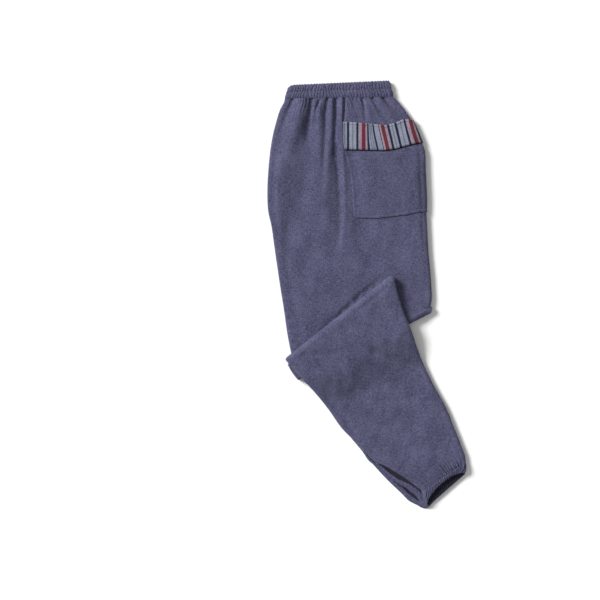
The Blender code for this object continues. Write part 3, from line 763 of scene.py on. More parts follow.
def make_rib_tree():
    """Mesh in; the same mesh with its ribs pushed out, and the outer cloth on its outside."""
    tree = bpy.data.node_groups.new("gathered_ribs", "GeometryNodeTree")
    socket(tree, "Geometry", "INPUT", "NodeSocketGeometry")
    socket(tree, "Pitch", "INPUT", "NodeSocketFloat", 0.005)
    socket(tree, "Depth", "INPUT", "NodeSocketFloat", 0.001)
    socket(tree, "Unsteady", "INPUT", "NodeSocketFloat", 0.8)
    socket(tree, "Seed", "INPUT", "NodeSocketFloat", 1.0)
    socket(tree, "Geometry", "OUTPUT", "NodeSocketGeometry")
    start = add_node(tree, "NodeGroupInput")
    end = add_node(tree, "NodeGroupOutput")
    along = attribute(tree, "along_elastic")
    down = attribute(tree, "across_elastic")
    shows = attribute(tree, "ribbed")
    turns = maths(tree, "DIVIDE")
    place = add_node(tree, "ShaderNodeCombineXYZ")
    noise = add_node(tree, "ShaderNodeTexNoise", noise_dimensions="3D", Scale=150.0, Detail=2.0)
    drift = add_node(tree, "ShaderNodeTexNoise", noise_dimensions="3D", Scale=55.0, Detail=1.0)
    shaken = maths(tree, "MULTIPLY_ADD")
    phase = maths(tree, "MULTIPLY", math.pi)
    wave = maths(tree, "SINE")
    bump = maths(tree, "ABSOLUTE")
    round_top = maths(tree, "POWER", 0.75)
    sunk = maths(tree, "SUBTRACT", 0.7)
    strength = new_range(tree, 0.3, 0.7, 0.45, 1.25)
    deep = maths(tree, "MULTIPLY")
    varied = maths(tree, "MULTIPLY")
    masked = maths(tree, "MULTIPLY")
    normal = add_node(tree, "GeometryNodeInputNormal")
    push = add_node(tree, "ShaderNodeVectorMath", operation="SCALE")
    move = add_node(tree, "GeometryNodeSetPosition")
    real = add_node(tree, "GeometryNodeRealizeInstances")
    finish = add_node(tree, "GeometryNodeSetMaterial")
    only = attribute(tree, "outside", "BOOLEAN")
    finish.inputs["Material"].default_value = chambray
    wire(tree, (along.outputs["Attribute"], turns.inputs[0]),
         (start.outputs["Pitch"], turns.inputs[1]),
         (along.outputs["Attribute"], place.inputs["X"]),
         (down.outputs["Attribute"], place.inputs["Y"]),
         (start.outputs["Seed"], place.inputs["Z"]),
         (place.outputs["Vector"], noise.inputs["Vector"]),
         (place.outputs["Vector"], drift.inputs["Vector"]),
         (drift.outputs["Fac"], shaken.inputs[0]), (start.outputs["Unsteady"], shaken.inputs[1]),
         (turns.outputs[0], shaken.inputs[2]), (shaken.outputs[0], phase.inputs[0]),
         (phase.outputs[0], wave.inputs[0]), (wave.outputs[0], bump.inputs[0]),
         (bump.outputs[0], round_top.inputs[0]), (round_top.outputs[0], sunk.inputs[0]),
         (noise.outputs["Fac"], strength.inputs["Value"]),
         (sunk.outputs[0], deep.inputs[0]), (start.outputs["Depth"], deep.inputs[1]),
         (deep.outputs[0], varied.inputs[0]), (strength.outputs["Result"], varied.inputs[1]),
         (varied.outputs[0], masked.inputs[0]), (shows.outputs["Attribute"], masked.inputs[1]),
         (normal.outputs["Normal"], push.inputs[0]), (masked.outputs[0], push.inputs["Scale"]),
         (start.outputs["Geometry"], move.inputs["Geometry"]),
         (push.outputs["Vector"], move.inputs["Offset"]),
         (move.outputs["Geometry"], real.inputs["Geometry"]),
         (real.outputs["Geometry"], finish.inputs["Geometry"]),
         (only.outputs["Attribute"], finish.inputs["Selection"]),
         (finish.outputs["Geometry"], end.inputs["Geometry"]))
    return tree


def tree_mesh(item, tree, values):
    """Runs a tree on a mesh or curve with the named values. The result is a plain mesh."""
    modifier = item.modifiers.new(tree.name, "NODES")
    modifier.node_group = tree
    for entry in tree.interface.items_tree:
        if entry.in_out == "INPUT" and entry.name in values:
            modifier[entry.identifier] = values[entry.name]
    graph = bpy.context.evaluated_depsgraph_get()
    made = bpy.data.meshes.new_from_object(item.evaluated_get(graph), depsgraph=graph)
    item.modifiers.remove(modifier)
    return made


def with_ribs(piece, pitch, depth, unsteady, seed):
    """Gives a smooth casing its ribs. Pitch and depth are in millimetres."""
    smooth = piece.data
    values = {"Pitch": pitch * MM, "Depth": depth * MM, "Unsteady": unsteady, "Seed": seed}
    piece.data = tree_mesh(piece, rib_tree, values)
    piece.data.name = piece.name
    bpy.data.meshes.remove(smooth)
    return piece


rib_tree = make_rib_tree()
print("rib tree inputs:", [i.name for i in rib_tree.interface.items_tree if i.in_out == "INPUT"])

# %% [markdown]
# ## Stitches with Geometry Nodes
#
# A row of machine stitches follows a seam: short runs of thread of equal length with small gaps,
# each sunk at its ends. The seam is given as a curve that lies on the cloth. The tree resamples it
# at the stitch length, sets a small tapered rod on every point along the curve's direction, makes
# the instances real and gives them the thread's material.


# %% The stitch tree
def make_stitch_tree():
    """Curve in; a row of small tapered rods along it out."""
    tree = bpy.data.node_groups.new("stitch_row", "GeometryNodeTree")
    socket(tree, "Geometry", "INPUT", "NodeSocketGeometry")
    socket(tree, "Stitch", "INPUT", "NodeSocketFloat", 0.0030)
    socket(tree, "Thread", "INPUT", "NodeSocketFloat", 0.0003)
    socket(tree, "Seed", "INPUT", "NodeSocketInt", 1)
    socket(tree, "Geometry", "OUTPUT", "NodeSocketGeometry")
    start = add_node(tree, "NodeGroupInput")
    end = add_node(tree, "NodeGroupOutput")
    points = add_node(tree, "GeometryNodeCurveToPoints", mode="LENGTH")
    rod = add_node(tree, "GeometryNodeMeshUVSphere", Segments=6, Rings=5, Radius=1.0)
    stretch = add_node(tree, "ShaderNodeCombineXYZ")
    half = maths(tree, "MULTIPLY", 0.42)
    shaped = add_node(tree, "GeometryNodeTransform")
    jitter = add_node(tree, "FunctionNodeRandomValue", data_type="FLOAT")
    jitter.inputs[2].default_value = 0.85
    jitter.inputs[3].default_value = 1.1
    place = add_node(tree, "GeometryNodeInstanceOnPoints")
    real = add_node(tree, "GeometryNodeRealizeInstances")
    finish = add_node(tree, "GeometryNodeSetMaterial")
    finish.inputs["Material"].default_value = thread
    smooth = add_node(tree, "GeometryNodeSetShadeSmooth")
    wire(tree, (start.outputs["Geometry"], points.inputs["Curve"]),
         (start.outputs["Stitch"], points.inputs["Length"]),
         (start.outputs["Stitch"], half.inputs[0]),
         (start.outputs["Thread"], stretch.inputs["X"]),
         (start.outputs["Thread"], stretch.inputs["Y"]), (half.outputs[0], stretch.inputs["Z"]),
         (rod.outputs["Mesh"], shaped.inputs["Geometry"]),
         (stretch.outputs["Vector"], shaped.inputs["Scale"]),
         (points.outputs["Points"], place.inputs["Points"]),
         (points.outputs["Rotation"], place.inputs["Rotation"]),
         (shaped.outputs["Geometry"], place.inputs["Instance"]),
         (start.outputs["Seed"], jitter.inputs["Seed"]),
         (jitter.outputs[1], place.inputs["Scale"]),
         (place.outputs["Instances"], real.inputs["Geometry"]),
         (real.outputs["Geometry"], smooth.inputs["Geometry"]),
         (smooth.outputs["Geometry"], finish.inputs["Geometry"]),
         (finish.outputs["Geometry"], end.inputs["Geometry"]))
    return tree


stitch_tree = make_stitch_tree()
THREAD = 0.28         # half the thickness of the thread


def stitch_row(name, points, stitch=3.0, seed=1):
    """A row of stitches along points in millimetres, as a plain mesh."""
    curve = bpy.data.curves.new(name, "CURVE")
    curve.dimensions = "3D"
    line = curve.splines.new("POLY")
    line.points.add(len(points) - 1)
    flat = np.concatenate([np.asarray(points) * MM, np.ones((len(points), 1))], axis=1)
    line.points.foreach_set("co", flat.ravel())
    guide = bpy.data.objects.new(name + "_guide", curve)
    bpy.context.scene.collection.objects.link(guide)
    values = {"Stitch": stitch * MM, "Thread": THREAD * MM, "Seed": seed}
    mesh = tree_mesh(guide, stitch_tree, values)
    bpy.data.objects.remove(guide, do_unlink=True)
    mesh.name = name
    layer = mesh.uv_layers.get("cloth") or mesh.uv_layers.new(name="cloth")
    row = bpy.data.objects.new(name, mesh)
    bpy.context.scene.collection.objects.link(row)
    print(name, "has", len(mesh.polygons), "faces, UV map", layer.name)
    return row


print("stitch tree ready")

# %% [markdown]
# ## The left leg
#
# This is the ply that shows: one piece of chambray from the waist to the hem, with no side seam.
# The fold at the knee splits what shows into two stretches, the thigh and the shin. Rows are set
# closer together near the elastics, where the gathers are small.


# %% Thigh and shin cloth
def places_between(first, last, count, crowd=1.0):
    """Places along a leg, closer together at the first end where crowd is over 1."""
    return first + (last - first) * np.linspace(0, 1, count) ** crowd


def across_places(columns, turns=9):
    """Places across a leg: tucked under, round the left edge, over the top and so on."""
    edge = np.concatenate([[-2.0, -1.5], np.linspace(-1, 0, turns)[:-1]])
    return np.concatenate([edge, np.linspace(0, 1, columns), 1 - edge[::-1]])


thigh_us = across_places(290)
thigh_places = places_between(0.0, len(THIGH) - 1.0, 150, 1.3)
thigh_outer = thigh_surface(thigh_us, thigh_places, 0.0)
thigh = ply("left_leg_thigh_cloth", thigh_outer, thigh_surface(thigh_us, thigh_places, WALL), 3,
            [chambray])
print("thigh:", triangles(thigh), "triangles")

shin_us = across_places(210)
shin_places = np.concatenate([np.linspace(-0.94, 0, 15)[:-1],
                              len(SHIN) - 1 - places_between(0.0, len(SHIN) - 1.0, 170, 1.35)[::-1]])
shin_outer = shin_surface(shin_us, shin_places, 0.0)
shin = ply("left_leg_shin_cloth", shin_outer, shin_surface(shin_us, shin_places, WALL), 3,
           [chambray])
print("shin:", triangles(shin), "triangles")

# %% [markdown]
# ## What lies under the left leg
#
# The right leg and the rest of the hips are folded away underneath, and only their edges show. A
# stack of flat plies with round edges is enough there, one on the other, each a little uneven so
# that no two edges run together. Towards the hems two plies of the shin stand out to the left in
# steps, with hollows between them that are painted in shade. Those two have tables of their own
# below, which run together again at the corner of the hem.


# %% Stacked plies
EDGE_STEPS = 7        # points round the edge of a ply
STRIP_COLUMNS = 80


def slab_loops(lefts, across, wides, low, high, seed, columns=26, side=2.4, steps=EDGE_STEPS):
    """Closed loops of one flat ply with round edges, one loop for each row."""
    turns = np.linspace(-0.5, 0.5, steps) * math.pi
    mid = np.linspace(0, 1, columns)[None, :]
    wobble = 0.7 * uneven(np.arange(len(wides)) * 9.0, 0.0 * wides, 90.0, seed)[:, None]
    flat = side + mid * (wides[:, None] - 2 * side)
    right = wides[:, None] - side + (side + wobble) * np.cos(turns)[None, :]
    left = side - (side + wobble) * np.cos(turns)[None, ::-1]
    inset = np.concatenate([flat, right, flat[:, ::-1], left], axis=1)
    x = lefts[:, 0:1] + across[:, 0:1] * inset
    y = lefts[:, 1:2] + across[:, 1:2] * inset
    share = np.concatenate([0 * mid[0], 0.5 + 0.5 * np.sin(turns), 1 + 0 * mid[0],
                            0.5 + 0.5 * np.sin(turns[::-1])])[None, :]
    bottom, top = low(x, y), high(x, y)
    z = bottom + share * (top - bottom)
    return np.stack([x, y, z], axis=-1)


def stacked(name, rows, places, heights, seed=20):
    """Flat plies on each other, each between two heights and a little further in."""
    pieces = []
    left, across, wide = section_frame(rows, places)
    for k, (low, high) in enumerate(heights):
        inset = EDGE_INSET + 0.4 * k
        wides = wide - inset - EDGE_INSET - 0.3 * k
        loops = slab_loops(left + across * inset, across, wides, lambda x, y: low + 0 * x,
                           lambda x, y: high + 0 * x, seed + k)
        pieces.append(tube(f"{name}_{k}", loops, cloth_lengths(loops), [chambray]))
    return joined(name, pieces)


hidden_places = places_between(0.0, len(THIGH) - 1.0, 110)
hidden = stacked("folded_under_layers", THIGH, hidden_places, [(0.0, 2.0), (2.15, 4.2)])
print("hidden layers:", triangles(hidden), "triangles")

# %% Strips at the hem
LOWER_STRIP = SHIN[:6] + [
    Section(-18.5, -268.5, 141.5, -200.5),
    Section(1.0, -294.0, 153.0, -230.0),
    Section(15.3, -309.2, 160.0, -246.0),
    Section(42.7, -338.0, 169.0, -268.0),
    Section(62.1, -356.0, 173.5, -282.0),
    Section(75.8, -369.7, 175.0, -292.0),
    Section(96.5, -380.9, 175.5, -304.0),
    Section(108.5, -384.6, 175.0, -318.0),
]
UPPER_STRIP = SHIN[:7] + [
    Section(9.0, -297.5, 156.5, -239.0),
    Section(27.0, -316.5, 165.0, -258.0),
    Section(48.0, -334.5, 171.0, -276.0),
    Section(69.0, -346.0, 174.5, -288.0),
    Section(86.0, -359.5, 176.0, -297.0),
    Section(98.5, -371.0, 176.5, -305.0),
    Section(106.5, -379.5, 176.5, -313.0),
]
Strip = namedtuple("Strip", "rows low high lip lip_wide")
STRIPS = (Strip(LOWER_STRIP, 0.0, 1.0, 3.0, 5.0), Strip(UPPER_STRIP, 1.3, 2.3, 3.4, 7.0))
STRIP_SIDE = 2.0
FIRST_STRIP_PLACE = 0.06
FAN_STARTS = 6.0      # the row where the strips part


def strip_ply(name, strip, seed):
    """One ply of the shin with a raised lip along its left edge, and painted shade beside it."""
    places = np.concatenate([np.linspace(FIRST_STRIP_PLACE, FAN_STARTS, 60)[:-1],
                             np.linspace(FAN_STARTS, len(strip.rows) - 1, 80)])
    left, across, wide = section_frame(strip.rows, places)
    inset = EDGE_INSET * soft_step((7.0 - places) / 2.0)
    fade = soft_step((places - 5.5) / 1.5)[:, None] * np.ones(STRIP_COLUMNS)[None, :]
    loops = slab_loops(left + across * inset[:, None], across, wide - 2 * inset,
                       lambda x, y: shin_base(x, y) + strip.low,
                       lambda x, y: shin_base(x, y) + strip.high,
                       seed, columns=STRIP_COLUMNS, side=STRIP_SIDE)
    from_edge = np.linalg.norm(loops[:, :STRIP_COLUMNS, :2] - left[:, None], axis=2)
    lip_wide = (strip.lip_wide + 5.5 * soft_step((places - 6.5) / 5.0))[:, None]
    lip = fade * strip.lip * soft_step((lip_wide + 2.0 - from_edge) / 4.0)
    # The ply's top runs from right to left in each loop, just before its left edge
    rounds = loops.shape[1]
    top = rounds - EDGE_STEPS - STRIP_COLUMNS
    loops[:, top:top + STRIP_COLUMNS, 2] += lip[:, ::-1]
    # The low cloth past the lip is painted in shade, for the shadow between the plies.
    painted_shade_faces = np.zeros((len(places) - 1, rounds), int)
    deep = (from_edge > lip_wide) & (fade > 0.3)
    painted_shade_faces[:, top:top + STRIP_COLUMNS - 1] = deep[1:, ::-1][:, :-1]
    ends = [0, 0]
    return tube(name, loops, cloth_lengths(loops), [chambray, painted_shade_chambray],
                face_materials=np.append(painted_shade_faces.ravel(), ends))


strips = [strip_ply(f"right_leg_shin_strip_{k}", strip, 30 + k) for k, strip in enumerate(STRIPS)]
under_shin = joined("right_leg_shin_layers", strips)
print("strips:", triangles(under_shin), "triangles")

# %% [markdown]
# ## The folded knee
#
# Between the two folds both legs lie pressed together. Seen from outside it is one round turn of
# cloth at the bottom fold, and four plies at the sides. The loft below follows the same rule as the
# solid: its sections run parallel to the bottom fold and grow round the turn.


# %% Knee fold
NOSE_SPREAD = 10.5    # how much wider the turn is at its right end
NOSE_PRESSED = 0.31   # share of the height that is pressed out there
PLIES_PRESSED = 0.88


def knee_loops(plies=4, side=4.0, steps=6, columns=60):
    """Closed loops of the folded knee, from the nose of its turn to the upper fold."""
    insets = NOSE_OUT * (1 - np.cos(np.linspace(0.12, math.pi / 2, 12)))
    nose_places = insets / KNEE_ROW
    rest = places_between(nose_places[-1] + 0.012, 2.0, 40)
    places = np.concatenate([nose_places, rest])
    half = np.sqrt(np.clip(1 - (1 - insets / NOSE_OUT) ** 2, 0, 1)) * KNEE_TOP / 2
    low = np.concatenate([KNEE_TOP / 2 - half, 0 * rest + KNEE_BASE])[:, None]
    high = np.concatenate([KNEE_TOP / 2 + half, 0 * rest + KNEE_TOP])[:, None]
    left, across, wide = section_frame(KNEE, places)
    round_turn = places <= nose_places[-1]
    wide = wide + np.clip(37.0 * places - 0.8, 0.0, NOSE_SPREAD) * round_turn
    turns = np.linspace(-0.5, 0.5, steps) * math.pi
    reach, share = [], []
    for k in range(plies):
        reach += list(np.cos(turns) * (1 - 0.10 * (k % 2)))
        share += list((k + 0.5 + 0.5 * np.sin(turns)) / plies)
    reach, share = np.array(reach), np.array(share)
    lobes = side / plies * 2
    flat = lobes + np.linspace(0, 1, columns)[None, :] * (wide[:, None] - 2 * lobes)
    right = wide[:, None] - lobes + lobes * reach[None, :]
    left_side = lobes - lobes * reach[None, ::-1] + 0 * wide[:, None]
    inset = np.concatenate([flat, right, flat[:, ::-1], left_side], axis=1)
    shares = np.concatenate([np.zeros(columns), share, np.ones(columns), share[::-1]])[None, :]
    x = left[:, 0:1] + across[:, 0:1] * inset
    y = left[:, 1:2] + across[:, 1:2] * inset
    rise = 0.35 * uneven(x, y, 45.0, 41) * (shares > 0.99)
    slope = soft_step((wide[:, None] - inset - 2.0) / 30.0)
    pressed = (1 - slope) * np.where(round_turn, NOSE_PRESSED, PLIES_PRESSED)[:, None]
    high = high - (high - low) * pressed
    return np.stack([x, y, low + shares * (high - low) + rise * slope], axis=-1)


loops = knee_loops()
knee = tube("knee_fold_layers", loops, cloth_lengths(loops), [chambray])
print("knee:", triangles(knee), "triangles")

# %% [markdown]
# ## Waistband and hem casings
#
# A casing on an elastic is a ring. Laid flat it becomes a long loop with round ends. Its profile is
# a wall with a soft rim, puffed between its rows of stitches. The base ring is smooth. Each of its
# points carries its distance along the elastic, its distance across it, how much it may rib, and
# whether it is outside. The tree from above then adds the ribs.


# %% Gathered rings
def casing_profile(high, half, channels, face_steps, rim_steps=7, puffed=1.0):
    """Distance down the casing and offset out of its wall's middle, and how much each may rib."""
    wall = half * 0.78
    t = np.linspace(0, 1, face_steps)
    puff = puffed * np.abs(np.sin(math.pi * channels * t)) ** 0.6
    outer = np.stack([half + t * (high - 2 * half), wall + puff], axis=1)
    turn = np.linspace(0, math.pi, rim_steps)[1:-1]
    foot = np.stack([high - half + half * np.sin(turn), wall * np.cos(turn)], axis=1)
    inner = np.stack([high - half - t[::3] * (high - 2 * half), -wall + 0 * t[::3]], axis=1)
    head = np.stack([half - half * np.sin(turn), -wall * np.cos(turn)], axis=1)
    profile = np.concatenate([outer, foot, inner, head])
    ribs = np.concatenate([np.clip(1.4 * puff / puffed, 0.25, 1.0), np.ones(len(foot)),
                           np.zeros(len(inner)), np.ones(len(head))])
    return profile, ribs


def ring_path(wide, half_high, flat_steps, end_steps, under_steps):
    """Across and up of a flattened ring, with its outward direction and a mask for its top."""
    turn = np.linspace(0, math.pi, end_steps + 2)[1:-1]
    reach = wide / 2 - half_high
    top = np.linspace(-reach, reach, flat_steps)
    under = np.linspace(reach, -reach, under_steps)
    across = np.concatenate([top, reach + half_high * np.sin(turn), under,
                             -reach - half_high * np.sin(turn)])
    up = np.concatenate([half_high + 0 * top, half_high * np.cos(turn), -half_high + 0 * under,
                         -half_high * np.cos(turn)])
    out_x = np.concatenate([0 * top, np.sin(turn), 0 * under, -np.sin(turn)])
    out_z = np.concatenate([1 + 0 * top, np.cos(turn), -1 + 0 * under, -np.cos(turn)])
    shown = np.concatenate([1 + 0 * top, soft_step(1.2 + np.cos(turn)), 0 * under,
                            soft_step(1.2 - np.cos(turn))])
    return across, up, out_x, out_z, shown


def casing_ring(name, start, finish, middle_z, half_high, profile, ribs, steps, arch=0.0,
                corner=0.0):
    """A smooth ring between two sections, ready for the ribs.

    Ribs is 0 for the inner wall, which is painted in shade with the dark chambray. The arch draws
    the upper lip back in a curve, and the corner rounds off the left end of the head.
    """
    start, finish = np.array(start), np.array(finish)
    a_left, a_right = start[:2], start[2:]
    b_left, b_right = finish[:2], finish[2:]
    long = np.linalg.norm((b_left + b_right - a_left - a_right) / 2)
    wide = np.linalg.norm(a_right - a_left)
    across, up, out_x, out_z, shown = ring_path(wide - 2 * BAND_PLY, half_high, *steps)
    share = np.clip(profile[:, 0] / long, 0, 1)[None, :]
    side = 0.5 + (across[:, None] + out_x[:, None] * profile[None, :, 1]) / wide
    a = a_left + side[..., None] * (a_right - a_left)
    b = b_left + side[..., None] * (b_right - b_left)
    plan = a + share[..., None] * (b - a)
    run = (b_right - b_left) / np.linalg.norm(b_right - b_left)
    forward = np.array((run[1], -run[0]))
    bow = np.sin(math.pi * np.clip(side, 0, 1)) ** 0.45
    tilt = -arch * share * soft_step(up / half_high * 0.5 + 0.5)[:, None] * bow
    if corner > 0:
        near = np.clip(1 - side * wide / corner, 0, 1)
        tilt = tilt + 0.6 * corner * (1 - np.sqrt(1 - near * near)) * (1 - share)
    plan = plan + forward * tilt[..., None]
    z = middle_z + up[:, None] + out_z[:, None] * profile[None, :, 1]
    points = np.concatenate([plan, np.maximum(z, 0.0)[..., None]], axis=-1)
    around = np.cumsum(np.hypot(np.diff(across, prepend=across[0]), np.diff(up, prepend=up[0])))
    uvs = np.stack([around[:, None] + 0 * share, -profile[None, :, 0] + 0 * around[:, None]], -1)
    # The inner wall gets the painted shade, for the dark inside of each casing.
    painted_shade_flags = np.repeat((ribs == 0).astype(int)[None, :], len(across), axis=0)
    piece = tube(name, points, uvs, [chambray, painted_shade_chambray], closed=True,
                 face_materials=painted_shade_flags.ravel())
    mesh = piece.data
    ribbed = shown[:, None] * ribs[None, :] + 0.8 * (1 - shown)[:, None] * (ribs == 0)[None, :]
    for label, kind, values in (
        ("along_elastic", "FLOAT", (around[:, None] + 0 * share) * MM),
        ("across_elastic", "FLOAT", (profile[None, :, 0] + 0 * around[:, None]) * MM),
        ("ribbed", "FLOAT", ribbed),
        ("outside", "BOOLEAN", ribbed * 0 + ribs[None, :] > 0),
    ):
        layer = mesh.attributes.new(label, kind, "POINT")
        layer.data.foreach_set("value", values.ravel())
    return piece


band_wall = casing_profile(BAND_LONG, BAND_PLY, channels=2, face_steps=36)
waistband = casing_ring("waistband_cloth", BAND_TOP, BAND_FOOT, BAND_HIGH / 2, BAND_LOOP,
                        *band_wall, steps=(420, 14, 60), corner=14.0)
waistband = with_ribs(waistband, BAND_RIB_PITCH, depth=1.5, unsteady=2.6, seed=3.0)
print("waistband:", triangles(waistband), "triangles")

# %% Hem casings
LEFT_CASING_LOOP = 3.2
RIGHT_CASING_LOOP = 1.1
LEFT_CASING_MIDDLE = RIGHT_LEG_HIGH + SEAM_GAP + CASING_HIGH / 2 - 0.6
hem_start = SHIN[-1]
left_wall = casing_profile(CASING_LONG, 1.3, channels=1, face_steps=26)
left_casing = casing_ring("left_hem_casing_cloth", hem_start, LEFT_MOUTH, LEFT_CASING_MIDDLE,
                          LEFT_CASING_LOOP, *left_wall, steps=(220, 16, 160), arch=MOUTH_ARCH)
left_casing = with_ribs(left_casing, 4.0, depth=3.0, unsteady=2.4, seed=7.0)
run = np.array(hem_start[2:]) - np.array(hem_start[:2])
run = run / np.linalg.norm(run)
under_start = Section(*(np.array(hem_start[:2]) - run * (HEM_STAGGER - EDGE_INSET)),
                      *(np.array(hem_start[2:]) - run * EDGE_INSET))
right_wall = casing_profile(CASING_LONG, 0.9, channels=1, face_steps=18)
right_casing = casing_ring("right_hem_casing_cloth", under_start, RIGHT_CASING_END,
                           RIGHT_LEG_HIGH / 2, RIGHT_CASING_LOOP, *right_wall,
                           steps=(200, 12, 100))
right_casing = with_ribs(right_casing, 3.8, depth=0.9, unsteady=1.0, seed=9.0)
print("hem casings:", triangles(left_casing) + triangles(right_casing), "triangles")

# %% [markdown]
# ## The hip pocket and its striped band
#
# The pocket is a patch on the outside of the leg, and the striped band closes its top. Both lie on
# the thigh's own surface, moved out by their thickness, so they follow its curve round the right
# edge. To lay them out, a point of the plan is turned back into a place on the thigh.

# %% Pocket outline
POCKET_LEFT = [(-42.0, 310.5), (-40.5, 261.0), (-30.0, 209.0), (-24.3, 153.9), (-22.5, 141.0)]
POCKET_MOUTH = [(-42.0, 310.5), (-2.5, 308.0), (33.0, 304.5), (50.0, 308.0), (64.0, 315.0)]
POCKET_SEAM = [(-40.5, 261.0), (33.0, 259.5), (52.0, 262.0), (69.0, 267.0), (92.0, 273.0)]
POCKET_FOOT = [(-22.5, 138.5), (17.0, 137.5), (72.0, 144.0), (95.0, 149.0)]


def find_on_thigh(x, y):
    """The place across and along the thigh that lies over points of the plan."""
    x, y = np.asarray(x, float), np.asarray(y, float)
    place = np.interp(-y, [-(r.left_y + r.right_y) / 2 for r in THIGH], range(len(THIGH)))
    for _ in range(40):
        row, ahead = read_table(THIGH, place), read_table(THIGH, place + 0.02)
        share = (x - row[..., 0]) / (row[..., 2] - row[..., 0])
        here = row[..., 1] + share * (row[..., 3] - row[..., 1])
        there = ahead[..., 1] + share * (ahead[..., 3] - ahead[..., 1])
        place = place + 0.7 * 0.02 * (y - here) / (there - here)
    wide = np.hypot(row[..., 2] - row[..., 0], row[..., 3] - row[..., 1])
    return (share * wide - ROLL_OUT) / (wide - 2 * ROLL_OUT), place


def patch_grid(head, foot, left_share, rows, cols, lift, corner=0.0):
    """Points over the thigh between two edges, lifted by a function of the distance in mm."""
    head_u, head_p = find_on_thigh(*np.array(head).T)
    foot_u, foot_p = find_on_thigh(*np.array(foot).T)
    t = np.linspace(0, 1, rows)
    side = read_table(POCKET_LEFT, left_share[0] + (left_share[1] - left_share[0]) * t)
    deep = np.array(head)[0][1] - np.array(foot)[0][1]
    to_foot = np.maximum(0.0, corner - (1 - t) * deep)
    side_x = side[:, 0] + corner - np.sqrt(np.maximum(corner ** 2 - to_foot ** 2, 0.0))
    side_u, _ = find_on_thigh(side_x, side[:, 1])
    s = np.linspace(0, 1, cols)
    u = side_u[:, None] + (POCKET_ROUND - side_u[:, None]) * s[None, :]
    top = np.interp(u, head_u, head_p)
    low = np.interp(u, foot_u, foot_p)
    place = top + (low - top) * t[:, None]
    left, across, wide = section_frame(THIGH, place.ravel())
    flat_u = u.ravel()
    from_left = (u - u[:, :1]) * THIGH_WIDE
    from_head, from_foot = t[:, None] * deep + 0 * u, (1 - t[:, None]) * deep + 0 * u
    height = (lift(from_left, from_head, from_foot) + 0 * u).ravel()
    inset, sink = rolled(flat_u, wide, -height)
    x, y = (left + across * inset[:, None]).T
    return thigh_lifted(flat_u, x, y, sink).reshape(rows, cols, 3)


def press_creases(points, creases, share):
    """Presses a patch's own creases into it."""
    points = points.copy()
    points[..., 2] -= crease_depth(creases, points[..., 0], points[..., 1]) * share
    return points


def pocket_lift(thick):
    """The pocket fills out a little inside its turned and stitched edges."""
    def lift(from_left, from_head, from_foot):
        edge = np.minimum(from_left, from_foot)
        turned = 0.5 * np.exp(-((edge - 2.6) / 2.0) ** 2) - 0.4 * np.exp(-((edge - 6.0) / 1.0) ** 2)
        bag = 1.4 * soft_step(edge / 30.0) * soft_step((from_head - 2.0) / 14.0)
        shallow = 0.4 * np.exp(-(from_head / 5.0) ** 2)
        return SEAM_GAP + thick + (turned + bag - shallow if thick > 0 else 0.0)
    return lift


def band_lift(thick):
    """The band is thicker, with a rim along its mouth and its seam."""
    def lift(from_left, from_head, from_foot):
        edge = np.minimum(from_head, from_foot)
        rim = 0.7 * np.exp(-((edge - 2.5) / 2.0) ** 2) - 0.3 * np.exp(-((edge - 5.5) / 0.8) ** 2)
        return SEAM_GAP + thick + (rim + 0.9 * soft_step(edge / 3.5) if thick > 0 else 0.0)
    return lift


print("the pocket lies at", np.round(find_on_thigh([0.0], [200.0]), 2).ravel())

# %% Pocket and band cloth
POCKET_CORNER = 7.0
pocket_head = [(x, y - SEAM_GAP) for x, y in POCKET_SEAM]
pocket_size = (pocket_head, POCKET_FOOT, (1.02, 4.0), 110, 130)
pocket_outer = patch_grid(*pocket_size, pocket_lift(1.2), corner=POCKET_CORNER)
pocket_inner = patch_grid(*pocket_size, pocket_lift(0.0), corner=POCKET_CORNER)
pocket_outer = press_creases(pocket_outer, POCKET_CREASES, 0.55)
pocket = ply("hip_pocket_cloth", pocket_outer, pocket_inner, 3, [chambray, painted_shade_chambray])
painted_shade_rows = 2       # the pocket's first rows are painted with the shadow of the band's foot
painted_shade_faces = np.zeros(len(pocket.data.polygons), int)
painted_shade_faces[:painted_shade_rows * (pocket_outer.shape[1] - 1)] = 1
pocket.data.polygons.foreach_set("material_index", painted_shade_faces)

band_size = (POCKET_MOUTH, POCKET_SEAM, (0.0, 0.99), 46, 150)
band_outer = patch_grid(*band_size, band_lift(2.5))
band_inner = patch_grid(*band_size, band_lift(0.0))
pocket_band = ply("pocket_band_cloth", band_outer, band_inner, 3, [striped_cotton])
print("pocket:", triangles(pocket), "band:", triangles(pocket_band), "triangles")

# %% [markdown]
# ## The stripes lean
#
# The band is cut straight, but it is eased round the hip: its left third is upright in the photo,
# and from there its stripes lean over. The UV map carries that, so the woven pattern bends with the
# cloth and needs no second material.


# %% Stripe map
def lean_stripes(piece):
    """Maps the stripes upright on the left, and leaning more and more to the right."""
    mesh = piece.data
    layer = mesh.uv_layers["cloth"]
    seam = np.array(POCKET_SEAM)
    mouth = np.array(POCKET_MOUTH)
    for loop in mesh.loops:
        x, y, _ = mesh.vertices[loop.vertex_index].co / MM
        low = np.interp(x, seam[:, 0], seam[:, 1])
        high = np.interp(x, mouth[:, 0], mouth[:, 1])
        up = (y - low) / max(high - low, 1.0) - 0.5
        lean = 10.5 * float(soft_step((x + 4.0) / 22.0)) + 4.0 * float(soft_step((x - 60.0) / 40.0))
        across = x + lean * up - POCKET_MOUTH[0][0]
        layer.data[loop.index].uv = ((across - STRIPE_START + repeat) * DM, y * DM)


lean_stripes(pocket_band)
print("stripes mapped on", pocket_band.name)

# %% [markdown]
# ## Rows of stitches
#
# The waistband is sewn between and below its elastics, the pocket along its side and foot, and the
# band along both edges. The rows of the waistband follow points that a ray straight down finds on
# the ribbed cloth, and the others follow a row or column of their own cloth's points, so that the
# thread lies on it.


